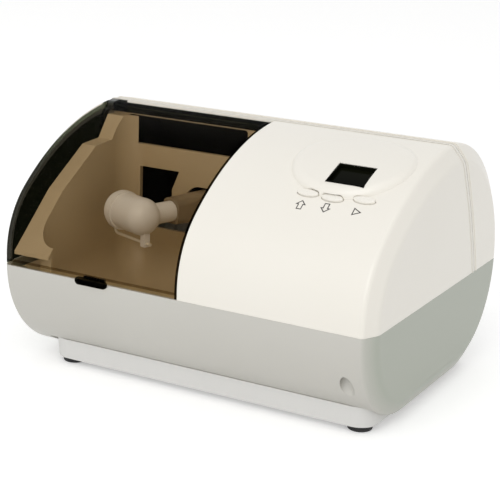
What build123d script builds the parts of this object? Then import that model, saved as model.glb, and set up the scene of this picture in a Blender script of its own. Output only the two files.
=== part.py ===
from build123d import *

import os
from math import asin, atan2, cos, degrees, hypot, radians, sin, sqrt, tan

# Dental capsule mixer: two-part rounded case, clear lid over the mixing chamber, keypad pod.
# +X is the user's right, +Y runs from the front to the back, +Z is up, in millimetres.
# While modelling, x = 0 is the lid's right edge; main() moves the finished pieces sideways, so that
# their origin is on the table, midway between the sides and midway between front and back.

# ---- case ----
CASE_WIDTH = 235.0
LID_WIDTH = 120.0  # from the left side face to the lid's right edge
CASE_DEPTH = 190.0
SPLIT_HEIGHT = 64.0  # parting line of housing and covers, above the table
HOUSING_DROP = 48.0  # from the parting line down to the flat bottom over the plinth
WALL = 2.5
FRONT_LIP = 5.0  # short upright strip above the parting line
FRONT_RADIUS = 52.0
FRONT_SWEEP = 48.0  # degrees of the front arc
TOP_RADIUS = 150.0
LOWER_RADIUS = 58.5
BEVEL_ACROSS = 5.0  # bevel between the outline and the side faces, along the width
BEVEL_DEPTH = 10.0  # and inwards from the outline
BEVEL_SOFT_OUT = 3.0  # rounding of the bevel's edge on the outline
BEVEL_SOFT_SIDE = 8.0  # and on the side face
TINY = 0.01

# ---- seam between the two covers ----
SEAM_RIDGE = 111.0  # behind the front face, at the roof
SEAM_FOOT = 146.0  # behind the front face, at the parting line
SEAM_RADIUS = 300.0
SEAM_GAP = 0.6
BEAD_SPACING = 5.5
BEAD_WIDTH = 1.2
BEAD_PROUD = 0.4
SIDE_LAP = 1.2  # tongue of the housing inside the covers
LAP_HEIGHT = 3.0
LAP_GAP = 0.3

# ---- plinth and feet ----
PLINTH_WIDTH = 209.5
PLINTH_DEPTH = 141.2
PLINTH_X = 2.25  # middle of the plinth
PLINTH_ROUND = 12.0
PLINTH_TAPER = 4.0  # degrees
PLINTH_GAP = 0.5
FOOT_RADIUS = 7.0
FOOT_HEIGHT = 4.0
FOOT_INSET = 10.8  # foot centre from the plinth's edges
FOOT_BOSS_RADIUS = 6.0
SCREW_RADIUS = 1.5
SCREW_HEAD_RADIUS = 3.0
SCREW_HEAD_HEIGHT = 2.0
HEAD_CLEARANCE = 0.5

# ---- case screws ----
CASE_BOSS_RADIUS = 7.5
CASE_BOSS_INSET = 16.0  # boss centre from the side face
CASE_BOSS_SETBACK = 9.5  # boss centre from the front or back face
CASE_BORE_RADIUS = 4.0
CASE_BORE_TOP = 20.0  # screw seat below the parting line
COVER_BOSS_HEIGHT = 12.0

# ---- lid ----
LID_WALL = 2.2
LID_GAP = 0.4
LID_BACK = 101.5  # hinge axis behind the front face
BARREL_RADIUS = 3.2
BARREL_INSET = 12.0  # left end of the hinge barrel from the side face
HINGE_GAP = 0.4
HINGE_PIN_RADIUS = 1.2
PIN_CLEARANCE = 0.06
PIN_REACH = 6.0  # pin length inside the lid's barrel
EAR_WIDTH = 4.5
EAR_ROOT = 4.6  # from the hinge axis back into the cover
TAB_WIDTH = 21.0
TAB_HEIGHT = 4.4
TAB_PROUD = 1.6
TAB_CENTRE = 55.5  # left of the middle
TAB_STANDOFF = 0.3
MAGNET_WIDTH = 14.0
MAGNET_THICKNESS = 1.4
MAGNET_HEIGHT = 1.9
LATCH_DEPTH = 2.0
LATCH_HEIGHT = 2.4
REED_HEIGHT = 5.0

# ---- chamber liner ----
LINER_WALL = 2.0
LINER_INSET = 3.0  # liner rim from the case's front face
LINER_SIDE_INSET = 8.0  # and from its left side face
LINER_RIM_DROP = 3.0  # front rim below the parting line
RIM_WIDTH = 5.5
SIDE_RIM_WIDTH = 10.0
BOWL_DEPTH = 30.0
BOWL_CORNER = 14.0
BOWL_FLOOR_RADIUS = 24.0
REAR_WALL = 105.0  # front face of the rear wall, behind the front face of the case
REAR_WALL_THICKNESS = 2.5
PANEL_GAP = 0.4
LINER_POST_RADIUS = 5.0
ARM_SLOT_WIDTH = 28.0  # opening for the arm in the rear wall
ARM_SLOT_HEIGHT = 21.0

# ---- control pod ----
POD_X = 70.0
POD_BACK = 68.0  # pod centre behind the front face
POD_WIDTH = 72.0
POD_LENGTH = 65.0
POD_RISE = 2.4
POD_CROWN = 150.0  # radius of the domed top
POD_LEAN = -3.5  # degrees towards the user
POD_ROUND = 6.0
POD_SKIRT = 9.0
LENS_WIDTH = 22.4
LENS_HEIGHT = 18.8
LENS_THICKNESS = 3.2
LENS_RECESS = 2.0
LENS_BORDER = 0.9
LENS_U = 5.5  # lens centre right of the pod's centre
LENS_V = -16.2  # and up the slope
LENS_TILT = 4.0  # degrees towards the user
LENS_SINK = 0.3
LENS_LEDGE = 1.4
KEY_LENGTH = 12.5
KEY_WIDTH = 4.6
KEY_PROUD = 1.5
KEY_TRAVEL = 0.8
KEY_ROUND = 0.8
KEY_FREE_PLAY = 0.1
KEY_STEM_RADIUS = 1.6
SWITCH_TALL = 3.5
DISPLAY_SLOPE = 12.0  # degrees between the board and the window
KEY_GAP = 0.3
KEY_HEADROOM = 0.5
KEY_SKIRT = 3.0
KEY_ROW_BACK = 39.0  # row of keys behind the front face
KEY_PLACES = {"button_up": (-13.2, 0.1), "button_down": (1.5, -0.8), "button_start": (19.2, 1.4)}
BOARD_DROP = 16.0  # below the cover at the row of keys
BOARD_SHIFT = 22.0  # board centre up the slope from the row of keys
BOARD_WIDTH = 66.0
BOARD_LENGTH = 58.0
BOARD_THICKNESS = 1.6

# ---- mixing mechanism ----
CUP_X = -62.0
CUP_BACK = 60.0  # holder centre behind the front face
MIX_HEIGHT = 24.0  # holder axis above the parting line
CAPSULE_ANGLE = -20.0  # capsule axis, degrees from +X
ARM_LENGTH = 87.0  # hub centre to holder centre
SWING = 5.0
CUP_RADIUS = 11.2
SOCKET_RADIUS = 6.5
SOCKET_DEPTH = 5.0
SPIGOT_RADIUS = 8.6
SPIGOT_LENGTH = 4.0
SLEEVE_CLEARANCE = 0.08
CAP_LENGTH = 25.0
CAP_END = 4.0
WIRE_RADIUS = 1.0
WIRE_DROP = 15.5
COLLAR_RADIUS = 6.2
COLLAR_END = 22.0
HUB_RADIUS = 13.0
HUB_WIDTH = 12.0
BEARING_RADIUS = 9.5
BEARING_WIDTH = 7.0
BEARING_BORE = 6.7
SWING_PIN_RADIUS = 2.0
SWING_PIN_REACH = 3.0  # below the leaf's top
LEAF_THICKNESS = 0.8
LEAF_DROP = 5.0  # leaf's top below the hub
LEAF_GAP = 0.3
JOURNAL_RADIUS = 5.9
JOURNAL_LENGTH = 14.0
JOURNAL_TILT = 5.0
SHAFT_RADIUS = 3.0
SHAFT_CLEARANCE = 0.05
SHAFT_START = -27.0
FLYWHEEL_RADIUS = 15.0
FLYWHEEL_WIDTH = 5.0
FLYWHEEL_START = 16.0
UPRIGHT_LEFT = -22.0
UPRIGHT_RIGHT = 29.0
SHEET = 2.5
MOTOR_RADIUS = 19.0
MOTOR_LENGTH = 52.0
MOTOR_WALL = 2.0
PLATE_HEIGHT = 30.0  # mounting plate above the table
PLATE_WIDTH = 38.0
MOUNT_RADIUS = 5.0
MOUNT_INSET = 8.0

# ---- mains parts at the back ----
PANEL_LEFT = 32.0
PANEL_RIGHT = 90.0
PANEL_LOW = 29.0
PANEL_HIGH = 58.0
PANEL_DEPTH = 15.0  # flat panel in front of the case's back face
INLET_X = 50.0
INLET_WIDTH = 26.0
INLET_HEIGHT = 19.0
INLET_DEPTH = 17.0
SWITCH_X = 79.0
SWITCH_WIDTH = 13.0
SWITCH_HEIGHT = 19.5
SWITCH_DEPTH = 14.0
FLANGE_MARGIN = 2.2
FLANGE_THICKNESS = 2.0
ROCKER_ANGLE = 9.0

# ---- worked out from the sizes above ----
FRONT_Y = -(CASE_DEPTH - TAB_PROUD) / 2
BACK_Y = FRONT_Y + CASE_DEPTH
LEFT_X = -LID_WIDTH
RIGHT_X = CASE_WIDTH - LID_WIDTH
HOUSING_BOTTOM = SPLIT_HEIGHT - HOUSING_DROP
FLOOR = HOUSING_BOTTOM + WALL
REACH = CASE_WIDTH + CASE_DEPTH

SWEEP_END = 180.0 - FRONT_SWEEP
FRONT_CENTRE = (FRONT_Y + FRONT_RADIUS, SPLIT_HEIGHT + FRONT_LIP)
TOP_CENTRE = (
    FRONT_CENTRE[0] + (FRONT_RADIUS - TOP_RADIUS) * cos(radians(SWEEP_END)),
    FRONT_CENTRE[1] + (FRONT_RADIUS - TOP_RADIUS) * sin(radians(SWEEP_END)),
)
BACK_RUN = BACK_Y - TOP_CENTRE[0]
BACK_RISE = SPLIT_HEIGHT - TOP_CENTRE[1]
REAR_RADIUS = (TOP_RADIUS**2 - BACK_RUN**2 - BACK_RISE**2) / (2 * (TOP_RADIUS - BACK_RUN))
REAR_CENTRE = (BACK_Y - REAR_RADIUS, SPLIT_HEIGHT)
REAR_START = degrees(atan2(REAR_CENTRE[1] - TOP_CENTRE[1], REAR_CENTRE[0] - TOP_CENTRE[0]))
TANGENT_Y = TOP_CENTRE[0] + TOP_RADIUS * cos(radians(REAR_START))


def roof_height(y, inset=0.0):
    """Height of the roof at depth y, moved inwards by inset."""
    centre, radius = (TOP_CENTRE, TOP_RADIUS) if y < TANGENT_Y else (REAR_CENTRE, REAR_RADIUS)
    return centre[1] + sqrt((radius - inset) ** 2 - (y - centre[0]) ** 2)


def roof_frame(x, back, lean):
    """Frame on the roof with its Z axis square to it, leaning further forwards by lean degrees."""
    y = FRONT_Y + back
    angle = degrees(asin((TOP_CENTRE[0] - y) / TOP_RADIUS))
    return Pos(x, y, roof_height(y)) * Rot(angle + lean, 0, 0)


def block(x0, x1, y0, y1, z0, z1):
    """Box between two corners."""
    centre = ((x0 + x1) / 2, (y0 + y1) / 2, (z0 + z1) / 2)
    return Pos(*centre) * Box(x1 - x0, y1 - y0, z1 - z0)


def rod(frame, radius, start, end):
    """Cylinder along the local X axis of a frame."""
    middle = (start + end) / 2
    return frame * Pos(middle, 0, 0) * Rot(0, 90, 0) * Cylinder(radius, end - start)


def post(x, y, radius, z0, z1):
    """Upright cylinder."""
    return Pos(x, y, (z0 + z1) / 2) * Cylinder(radius, z1 - z0)


def screw(x, y, head_z, tip_z):
    """Upright screw whose head lies below head_z and whose shank ends at tip_z."""
    head = post(x, y, SCREW_HEAD_RADIUS, head_z - SCREW_HEAD_HEIGHT, head_z)
    socket = post(x, y, SCREW_HEAD_RADIUS * 0.5, head_z - SCREW_HEAD_HEIGHT, head_z - SCREW_HEAD_HEIGHT * 0.4)
    return head + post(x, y, SCREW_RADIUS, head_z, tip_z) - socket


def arc(centre, radius, start, end):
    """Arc of the side profile, angles in degrees."""
    return CenterArc(centre, radius, start, end - start)


# ---- case surfaces ----
def case_outline(inset):
    """Side profile of the whole case in the YZ plane, moved inwards by inset."""
    lower = LOWER_RADIUS - inset
    front = FRONT_Y + inset
    edges = [
        arc((FRONT_Y + LOWER_RADIUS, SPLIT_HEIGHT), lower, 270, 180),
        Line((front, SPLIT_HEIGHT), (front, SPLIT_HEIGHT + FRONT_LIP)),
        arc(FRONT_CENTRE, FRONT_RADIUS - inset, 180, SWEEP_END),
        arc(TOP_CENTRE, TOP_RADIUS - inset, SWEEP_END, REAR_START),
        arc(REAR_CENTRE, REAR_RADIUS - inset, REAR_START, 0),
        arc((BACK_Y - LOWER_RADIUS, SPLIT_HEIGHT), lower, 0, -90),
    ]
    edges.append(Line(edges[-1] @ 1, edges[0] @ 0))
    return Plane.YZ * make_face(Wire(edges))


def case_body(inset=0.0):
    """The whole case with bevelled ends as one solid, moved inwards by inset."""
    left = LEFT_X + inset
    right = RIGHT_X - inset
    body = Pos((left + right) / 2, 0, 0) * extrude(case_outline(inset), (right - left) / 2, both=True)
    lean = hypot(1 / BEVEL_ACROSS, 1 / BEVEL_DEPTH) - 1 / BEVEL_ACROSS - 1 / BEVEL_DEPTH
    across = BEVEL_ACROSS * (1 + inset * lean)
    depth = BEVEL_DEPTH * (1 + inset * lean)
    for index in (0, -1):
        end = body.faces().sort_by(Axis.X)[index]
        body = chamfer(end.edges(), depth, across, reference=end)
    if inset < BEVEL_SOFT_OUT:
        for x in (left + across, right - across):
            rim = body.edges().filter_by_position(Axis.X, x - TINY, x + TINY)
            body = fillet(rim, BEVEL_SOFT_OUT - inset)
        for index in (0, -1):
            rim = body.faces().sort_by(Axis.X)[index].edges()
            body = fillet(rim, BEVEL_SOFT_SIDE - inset)
    return body


def plinth_recess(grow=0.0):
    """Space for the plinth under the case, grown by a wall thickness."""
    half = PLINTH_WIDTH / 2 + PLINTH_GAP + grow
    return block(PLINTH_X - half, PLINTH_X + half, -REACH, REACH, -REACH, HOUSING_BOTTOM + grow)


def seam_centre():
    """Centre of the seam's arc in the YZ plane, low and in front of the case."""
    top = (FRONT_Y + SEAM_RIDGE, roof_height(FRONT_Y + SEAM_RIDGE))
    foot = (FRONT_Y + SEAM_FOOT, SPLIT_HEIGHT)
    half_chord = hypot(foot[0] - top[0], foot[1] - top[1]) / 2
    across = sqrt(SEAM_RADIUS**2 - half_chord**2)
    along = ((foot[0] - top[0]) / (2 * half_chord), (foot[1] - top[1]) / (2 * half_chord))
    return (
        (top[0] + foot[0]) / 2 + along[1] * across,
        (top[1] + foot[1]) / 2 - along[0] * across,
    )


def seam_drum(offset):
    """Everything in front of the seam, moved backwards by offset."""
    y, z = seam_centre()
    return rod(Pos(0, y, z), SEAM_RADIUS + offset, -REACH / 2, REACH / 2)


OUTER = case_body() - plinth_recess()
INNER = case_body(WALL) - plinth_recess(WALL)
ABOVE = block(-REACH, REACH, -REACH, REACH, SPLIT_HEIGHT, REACH)
BELOW = block(-REACH, REACH, -REACH, REACH, -REACH, SPLIT_HEIGHT)
SHELL = OUTER - INNER

HINGE_Y = FRONT_Y + LID_BACK
HINGE_Z = roof_height(HINGE_Y) - BARREL_RADIUS
HINGE_FRAME = Pos(0, HINGE_Y, HINGE_Z)
BARREL_LEFT = LEFT_X + BARREL_INSET
BARREL_RIGHT = -LID_GAP
EAR_RIGHT = BARREL_LEFT - HINGE_GAP
EAR_LEFT = EAR_RIGHT - EAR_WIDTH
REAR_WALL_Y = FRONT_Y + REAR_WALL

POD_FRAME = roof_frame(POD_X, POD_BACK, POD_LEAN)
KEY_FRAME = roof_frame(POD_X, KEY_ROW_BACK, 0)
BOARD_FRAME = KEY_FRAME * Pos(0, BOARD_SHIFT, -BOARD_DROP)

MIX_Z = SPLIT_HEIGHT + MIX_HEIGHT
CUP_FRAME = Pos(CUP_X, FRONT_Y + CUP_BACK, MIX_Z) * Rot(0, 0, CAPSULE_ANGLE)
HUB_FRAME = CUP_FRAME * Pos(0, ARM_LENGTH, 0)
PLATE_DROP = MIX_Z - PLATE_HEIGHT
LEAF_TOP = -HUB_RADIUS - LEAF_DROP


def foot_places():
    """Centres of the four feet."""
    half_x = PLINTH_WIDTH / 2 - FOOT_INSET
    half_y = PLINTH_DEPTH / 2 - FOOT_INSET
    middle = (FRONT_Y + BACK_Y) / 2
    return [(PLINTH_X + sx * half_x, middle + sy * half_y) for sx in (-1, 1) for sy in (-1, 1)]


def boss_places():
    """Centres of the case screws: front right and both back corners."""
    right = RIGHT_X - CASE_BOSS_INSET
    left = LEFT_X + CASE_BOSS_INSET
    return [
        (right, FRONT_Y + CASE_BOSS_SETBACK),
        (right, BACK_Y - CASE_BOSS_SETBACK),
        (left, BACK_Y - CASE_BOSS_SETBACK),
    ]


# ---- lower case ----
def lower_housing():
    """Lower shell with screw bosses, a tongue for the covers and the mains panel."""
    body = SHELL & BELOW
    lap_outer = case_body(WALL + LAP_GAP)
    lap_inner = case_body(WALL + LAP_GAP + SIDE_LAP)
    lap_left = WALL + PANEL_GAP
    lap_low = SPLIT_HEIGHT - LAP_HEIGHT
    lap_zone = block(lap_left, RIGHT_X, FRONT_Y, BACK_Y, lap_low, SPLIT_HEIGHT + LAP_HEIGHT)
    lap_root = block(lap_left, RIGHT_X, FRONT_Y, BACK_Y, lap_low, SPLIT_HEIGHT)
    lap = (lap_outer - lap_inner) & lap_zone
    for x, y in boss_places():
        lap -= post(x, y, CASE_BOSS_RADIUS + LAP_GAP, 0, REACH)
    body += lap + ((INNER - lap_inner) & lap_root)
    panel_y = BACK_Y - PANEL_DEPTH
    pocket = block(PANEL_LEFT, PANEL_RIGHT, panel_y, BACK_Y + 1, PANEL_LOW, PANEL_HIGH)
    pocket_skin = block(
        PANEL_LEFT - WALL, PANEL_RIGHT + WALL, panel_y - WALL, BACK_Y, PANEL_LOW - WALL, PANEL_HIGH + WALL
    )
    body += (pocket_skin & OUTER) - pocket
    body -= pocket
    for x, y in boss_places():
        boss = post(x, y, CASE_BOSS_RADIUS, HOUSING_BOTTOM, SPLIT_HEIGHT)
        body += boss & OUTER & BELOW
    for x, y in boss_places():
        body -= post(x, y, CASE_BORE_RADIUS, 0, SPLIT_HEIGHT - CASE_BORE_TOP)
        body -= post(x, y, SCREW_RADIUS, 0, SPLIT_HEIGHT + 1)
    for x, y in foot_places():
        body -= post(x, y, SCREW_RADIUS, 0, FLOOR + 1)
    for x, y in liner_posts():
        body += post(x, y, LINER_POST_RADIUS, HOUSING_BOTTOM, LINER_FLOOR)
        body -= post(x, y, SCREW_RADIUS, FLOOR, LINER_FLOOR + 1)
    body -= mains_cutouts()
    return body


def mains_cutouts():
    """Holes for the inlet and the rocker switch in the mains panel."""
    panel_y = BACK_Y - PANEL_DEPTH
    middle = (PANEL_LOW + PANEL_HIGH) / 2
    cuts = []
    for x, width, height in ((INLET_X, INLET_WIDTH, INLET_HEIGHT), (SWITCH_X, SWITCH_WIDTH, SWITCH_HEIGHT)):
        cuts.append(Pos(x, panel_y - WALL / 2, middle) * Box(width, WALL + 1, height))
    return cuts


def base_plinth():
    """Tray under the housing that carries the feet."""
    height = HOUSING_BOTTOM - FOOT_HEIGHT
    middle = (FRONT_Y + BACK_Y) / 2
    top = Plane((PLINTH_X, middle, HOUSING_BOTTOM), z_dir=(0, 0, -1))
    tray = extrude(top * RectangleRounded(PLINTH_WIDTH, PLINTH_DEPTH, PLINTH_ROUND), height, taper=PLINTH_TAPER)
    hollow = RectangleRounded(PLINTH_WIDTH - 2 * WALL, PLINTH_DEPTH - 2 * WALL, PLINTH_ROUND - WALL)
    tray -= extrude(top * hollow, height - WALL, taper=PLINTH_TAPER)
    for x, y in foot_places():
        tray += post(x, y, FOOT_BOSS_RADIUS, FOOT_HEIGHT, HOUSING_BOTTOM)
    for x, y in foot_places():
        tray -= post(x, y, SCREW_RADIUS, 0, HOUSING_BOTTOM + 1)
    return tray


def foot_pads():
    """Four round rubber feet with a countersunk screw seat."""
    feet = []
    for x, y in foot_places():
        pad = post(x, y, FOOT_RADIUS, 0, FOOT_HEIGHT)
        pad = fillet(pad.faces().sort_by(Axis.Z)[0].edges(), 1.0)
        pad -= post(x, y, SCREW_HEAD_RADIUS + HEAD_CLEARANCE, 0, FOOT_HEIGHT / 2)
        pad -= post(x, y, SCREW_RADIUS, 0, FOOT_HEIGHT + 1)
        feet.append(pad)
    return feet


def foot_screws():
    """Screws that hold feet, plinth and housing floor together."""
    return [screw(x, y, FOOT_HEIGHT / 2, FLOOR) for x, y in foot_places()]


def case_screws():
    """Screws that draw the covers down on the housing."""
    seat = SPLIT_HEIGHT - CASE_BORE_TOP
    return [screw(x, y, seat, SPLIT_HEIGHT + COVER_BOSS_HEIGHT - WALL) for x, y in boss_places()]


# ---- covers ----
def lid_zone():
    """The space that the lid takes from the covers."""
    sheet_back = HINGE_Y + HINGE_GAP
    barrel_back = HINGE_Y + BARREL_RADIUS + HINGE_GAP
    below_barrel = HINGE_Z - BARREL_RADIUS - HINGE_GAP
    zone = block(-REACH, 0, -REACH, sheet_back, SPLIT_HEIGHT - 1, REACH)
    return zone + block(-REACH, 0, -REACH, barrel_back, below_barrel, REACH)


def bead(side):
    """Raised line beside the seam; side is -1 for the front cover and 1 for the back cover."""
    near = side * BEAD_SPACING / 2
    ring = seam_drum(near + BEAD_WIDTH / 2) - seam_drum(near - BEAD_WIDTH / 2)
    return (case_body(-BEAD_PROUD) - INNER) & ring & ABOVE


def cover_bosses(places):
    """Bosses inside a cover that take the case screws."""
    bosses = []
    for x, y in places:
        boss = post(x, y, CASE_BOSS_RADIUS, SPLIT_HEIGHT, SPLIT_HEIGHT + COVER_BOSS_HEIGHT)
        hole = post(x, y, SCREW_RADIUS, SPLIT_HEIGHT - 1, SPLIT_HEIGHT + COVER_BOSS_HEIGHT - WALL)
        bosses.append((boss & OUTER) - hole)
    return bosses


def pod_dome(inset=0.0):
    """Low oval dome of the control pod, moved inwards by inset."""
    outline = Ellipse(POD_WIDTH / 2 - inset, POD_LENGTH / 2 - inset)
    drum = Pos(0, 0, -POD_SKIRT) * extrude(outline, POD_SKIRT + POD_RISE)
    dome = drum & rod(Pos(0, 0, POD_RISE - POD_CROWN), POD_CROWN - inset, -POD_WIDTH, POD_WIDTH)
    top = dome.faces().sort_by(Axis.Z)[-1]
    return POD_FRAME * fillet(top.edges(), POD_ROUND - inset)


def dome_height(v):
    """Height of the dome over the pod's base plane at a place up the slope."""
    return POD_RISE - POD_CROWN + sqrt(POD_CROWN**2 - v * v)


LENS_FRAME = POD_FRAME * Pos(LENS_U, LENS_V, dome_height(LENS_V) - LENS_SINK) * Rot(LENS_TILT, 0, 0)


def key_shape(u, v, gap, low, high):
    """Oval prism of a key, or of its hole when gap is more than 0."""
    outline = Ellipse(KEY_LENGTH / 2 + gap, KEY_WIDTH / 2 + gap)
    return Pos(u, v, low) * extrude(outline, high - low)


def board_posts():
    """Centres of the posts that carry the control board."""
    half_u = BOARD_WIDTH / 2 - 4
    half_v = BOARD_LENGTH / 2 - 4
    return [(su * half_u, sv * half_v) for su in (-1, 1) for sv in (-1, 1)]


def front_cover():
    """Right half of the roof with its pod, and the strip behind the lid."""
    body = SHELL & ABOVE & seam_drum(-SEAM_GAP / 2)
    body += bead(-1)
    body -= lid_zone()
    bulkhead = block(0, WALL, FRONT_Y, REAR_WALL_Y + REAR_WALL_THICKNESS, SPLIT_HEIGHT, REACH)
    body += bulkhead & OUTER
    ear = rod(HINGE_FRAME, BARREL_RADIUS, EAR_LEFT, EAR_RIGHT)
    root = block(EAR_LEFT, EAR_RIGHT, HINGE_Y, HINGE_Y + EAR_ROOT, HINGE_Z - 1, REACH)
    body += (ear + root) & OUTER
    body -= rod(HINGE_FRAME, HINGE_PIN_RADIUS, EAR_LEFT + 1, WALL)
    body += pod_dome() - INNER
    body -= pod_dome(WALL)
    body += cover_bosses(boss_places()[:1])
    for u, v in board_posts():
        tube = BOARD_FRAME * Pos(u, v, 0) * extrude(Circle(3.2), BOARD_DROP)
        body += tube & OUTER
    for u, v in board_posts():
        body -= BOARD_FRAME * Pos(u, v, -1) * extrude(Circle(SCREW_RADIUS), 7)
    frame = LENS_FRAME * Pos(0, 0, -LENS_THICKNESS - WALL)
    body += (frame * extrude(Rectangle(LENS_WIDTH + 2 * WALL, LENS_HEIGHT + 2 * WALL), 4 * WALL)) & pod_dome()
    opening = Rectangle(LENS_WIDTH - 2 * LENS_LEDGE, LENS_HEIGHT - 2 * LENS_LEDGE)
    body -= frame * Pos(0, 0, -WALL) * extrude(opening, 3 * WALL)
    body -= LENS_FRAME * Pos(0, 0, -LENS_THICKNESS) * extrude(Rectangle(LENS_WIDTH, LENS_HEIGHT), 4 * WALL)
    for u, v in KEY_PLACES.values():
        body -= KEY_FRAME * key_shape(u, v, KEY_GAP, -BOARD_DROP / 2, KEY_PROUD + KEY_HEADROOM)
    return body


def rear_cover():
    """Back of the roof with its cooling slots."""
    body = SHELL & ABOVE
    body -= seam_drum(SEAM_GAP / 2)
    body += bead(1)
    body += cover_bosses(boss_places()[1:])
    for index in range(-6, 7):
        slot = Pos(index * 9.0, BACK_Y, SPLIT_HEIGHT + 34) * Box(3.2, 60, 26)
        body -= slot & block(-REACH, REACH, 0, REACH, SPLIT_HEIGHT, REACH)
    return body


# ---- lid ----
def lid():
    """Clear hood with its end wall, hinge barrel and finger tab."""
    zone = block(-REACH, -LID_GAP, -REACH, HINGE_Y, SPLIT_HEIGHT + LID_GAP, REACH)
    body = (OUTER - case_body(LID_WALL)) & zone
    ear_sweep = hypot(EAR_ROOT, BARREL_RADIUS) + HINGE_GAP
    body -= rod(HINGE_FRAME, ear_sweep, EAR_LEFT - HINGE_GAP, BARREL_LEFT)
    barrel = rod(HINGE_FRAME, BARREL_RADIUS, BARREL_LEFT, BARREL_RIGHT)
    body += barrel
    for start, end in ((BARREL_LEFT - 1, BARREL_LEFT + PIN_REACH + 1), (BARREL_RIGHT - PIN_REACH - 1, BARREL_RIGHT + 1)):
        body -= rod(HINGE_FRAME, HINGE_PIN_RADIUS + PIN_CLEARANCE, start, end)
    tab_face = Plane((-TAB_CENTRE, FRONT_Y - TAB_PROUD, SPLIT_HEIGHT), x_dir=(1, 0, 0), z_dir=(0, -1, 0))
    outline = tab_face * SlotOverall(TAB_WIDTH, TAB_HEIGHT)
    tab = extrude(outline, -(TAB_PROUD - TAB_STANDOFF))
    upper = extrude(outline, -(TAB_PROUD + LID_WALL / 2))
    body += tab + (upper & block(-REACH, 0, -REACH, 0, SPLIT_HEIGHT + LID_GAP, REACH))
    return body


def lid_hinge_pins():
    """Two pins that carry the lid, pressed in the cover's ear and bulkhead."""
    left = rod(HINGE_FRAME, HINGE_PIN_RADIUS, EAR_LEFT + 1, BARREL_LEFT + PIN_REACH)
    right = rod(HINGE_FRAME, HINGE_PIN_RADIUS, BARREL_RIGHT - PIN_REACH, WALL)
    return [left, right]


def lid_magnet():
    """Bar magnet behind the finger tab."""
    y = FRONT_Y + LID_WALL
    z = SPLIT_HEIGHT + LID_GAP
    half = MAGNET_WIDTH / 2
    return block(-TAB_CENTRE - half, -TAB_CENTRE + half, y, y + MAGNET_THICKNESS, z, z + MAGNET_HEIGHT)


def latch_bar(top, bottom):
    """Bar on the inside of the housing's front wall, under the lid's magnet."""
    half = MAGNET_WIDTH / 2
    bar = block(-TAB_CENTRE - half, -TAB_CENTRE + half, FRONT_Y, FRONT_Y + WALL + LATCH_DEPTH, bottom, top)
    return bar & INNER


def latch_plate():
    """Steel plate under the lid's magnet."""
    top = SPLIT_HEIGHT - LID_GAP
    return latch_bar(top, top - LATCH_HEIGHT)


def reed_switch():
    """Interlock sensor below the latch plate."""
    top = SPLIT_HEIGHT - LID_GAP - LATCH_HEIGHT
    return latch_bar(top, top - REED_HEIGHT)


# ---- chamber liner ----
LINER_LEFT = LEFT_X + LINER_SIDE_INSET
LINER_RIGHT = -PANEL_GAP
BOWL_LEFT = LINER_LEFT + SIDE_RIM_WIDTH
BOWL_RIGHT = LINER_RIGHT - RIM_WIDTH / 2
BOWL_FRONT = FRONT_Y + LINER_INSET + RIM_WIDTH
LINER_FLOOR = SPLIT_HEIGHT - BOWL_DEPTH - LINER_WALL
RIM_TOP = SPLIT_HEIGHT - LINER_RIM_DROP
RIM_STEPS = ((4.0, 8.0), (37.0, 38.0), (71.0, 59.0), (88.0, 60.0), (98.0, 73.0), (106.0, 73.0))


def liner_posts():
    """Centres of the posts under the bowl."""
    x = (BOWL_LEFT + BOWL_RIGHT) / 2
    return [(x - 22, BOWL_FRONT + 48), (x + 22, BOWL_FRONT + 48)]


def bowl(grow):
    """Rounded inside of the bowl, grown by a wall thickness."""
    top = roof_height(REAR_WALL_Y)
    space = block(
        BOWL_LEFT - grow,
        BOWL_RIGHT + grow,
        BOWL_FRONT - grow,
        REAR_WALL_Y + grow,
        SPLIT_HEIGHT - BOWL_DEPTH - grow,
        top,
    )
    space = fillet(space.edges().filter_by(Axis.Z), BOWL_CORNER + grow)
    return fillet(space.faces().sort_by(Axis.Z)[0].edges(), BOWL_FLOOR_RADIUS + grow)


def side_rim(drop):
    """Solid below the stepped left rim, lowered by drop."""
    points = [(FRONT_Y + y, SPLIT_HEIGHT + z - drop) for y, z in RIM_STEPS]
    foot = SPLIT_HEIGHT - BOWL_DEPTH - LINER_WALL - drop
    outline = Polyline([(points[0][0], foot)] + points + [(points[-1][0], foot)], close=True)
    face = Plane.YZ * make_face(outline)
    return Pos(LINER_LEFT, 0, 0) * extrude(face, SIDE_RIM_WIDTH + BOWL_CORNER)


def wall_windows():
    """Openings in the rear wall: upper window, lower window, the arm's slot and its sill."""
    plane = Plane((0, REAR_WALL_Y + REAR_WALL_THICKNESS + 1, SPLIT_HEIGHT), x_dir=(1, 0, 0), z_dir=(0, -1, 0))
    upper = Pos(-59.5, 64.75) * RectangleRounded(85, 17.5, 2)
    lower = make_face(Polyline([(-92, 4), (-92, 42), (-64, 42), (-69, 30), (-69, 4)], close=True))
    arm_x = CUP_X - (REAR_WALL - CUP_BACK) * tan(radians(CAPSULE_ANGLE))
    slot = Pos(arm_x, MIX_HEIGHT) * SlotOverall(ARM_SLOT_WIDTH, ARM_SLOT_HEIGHT)
    sill = Pos(-52, 12) * Rectangle(54, 16)
    depth = REAR_WALL_THICKNESS + 2
    return [extrude(plane * shape, depth) for shape in (upper, lower, slot, sill)]


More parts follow.
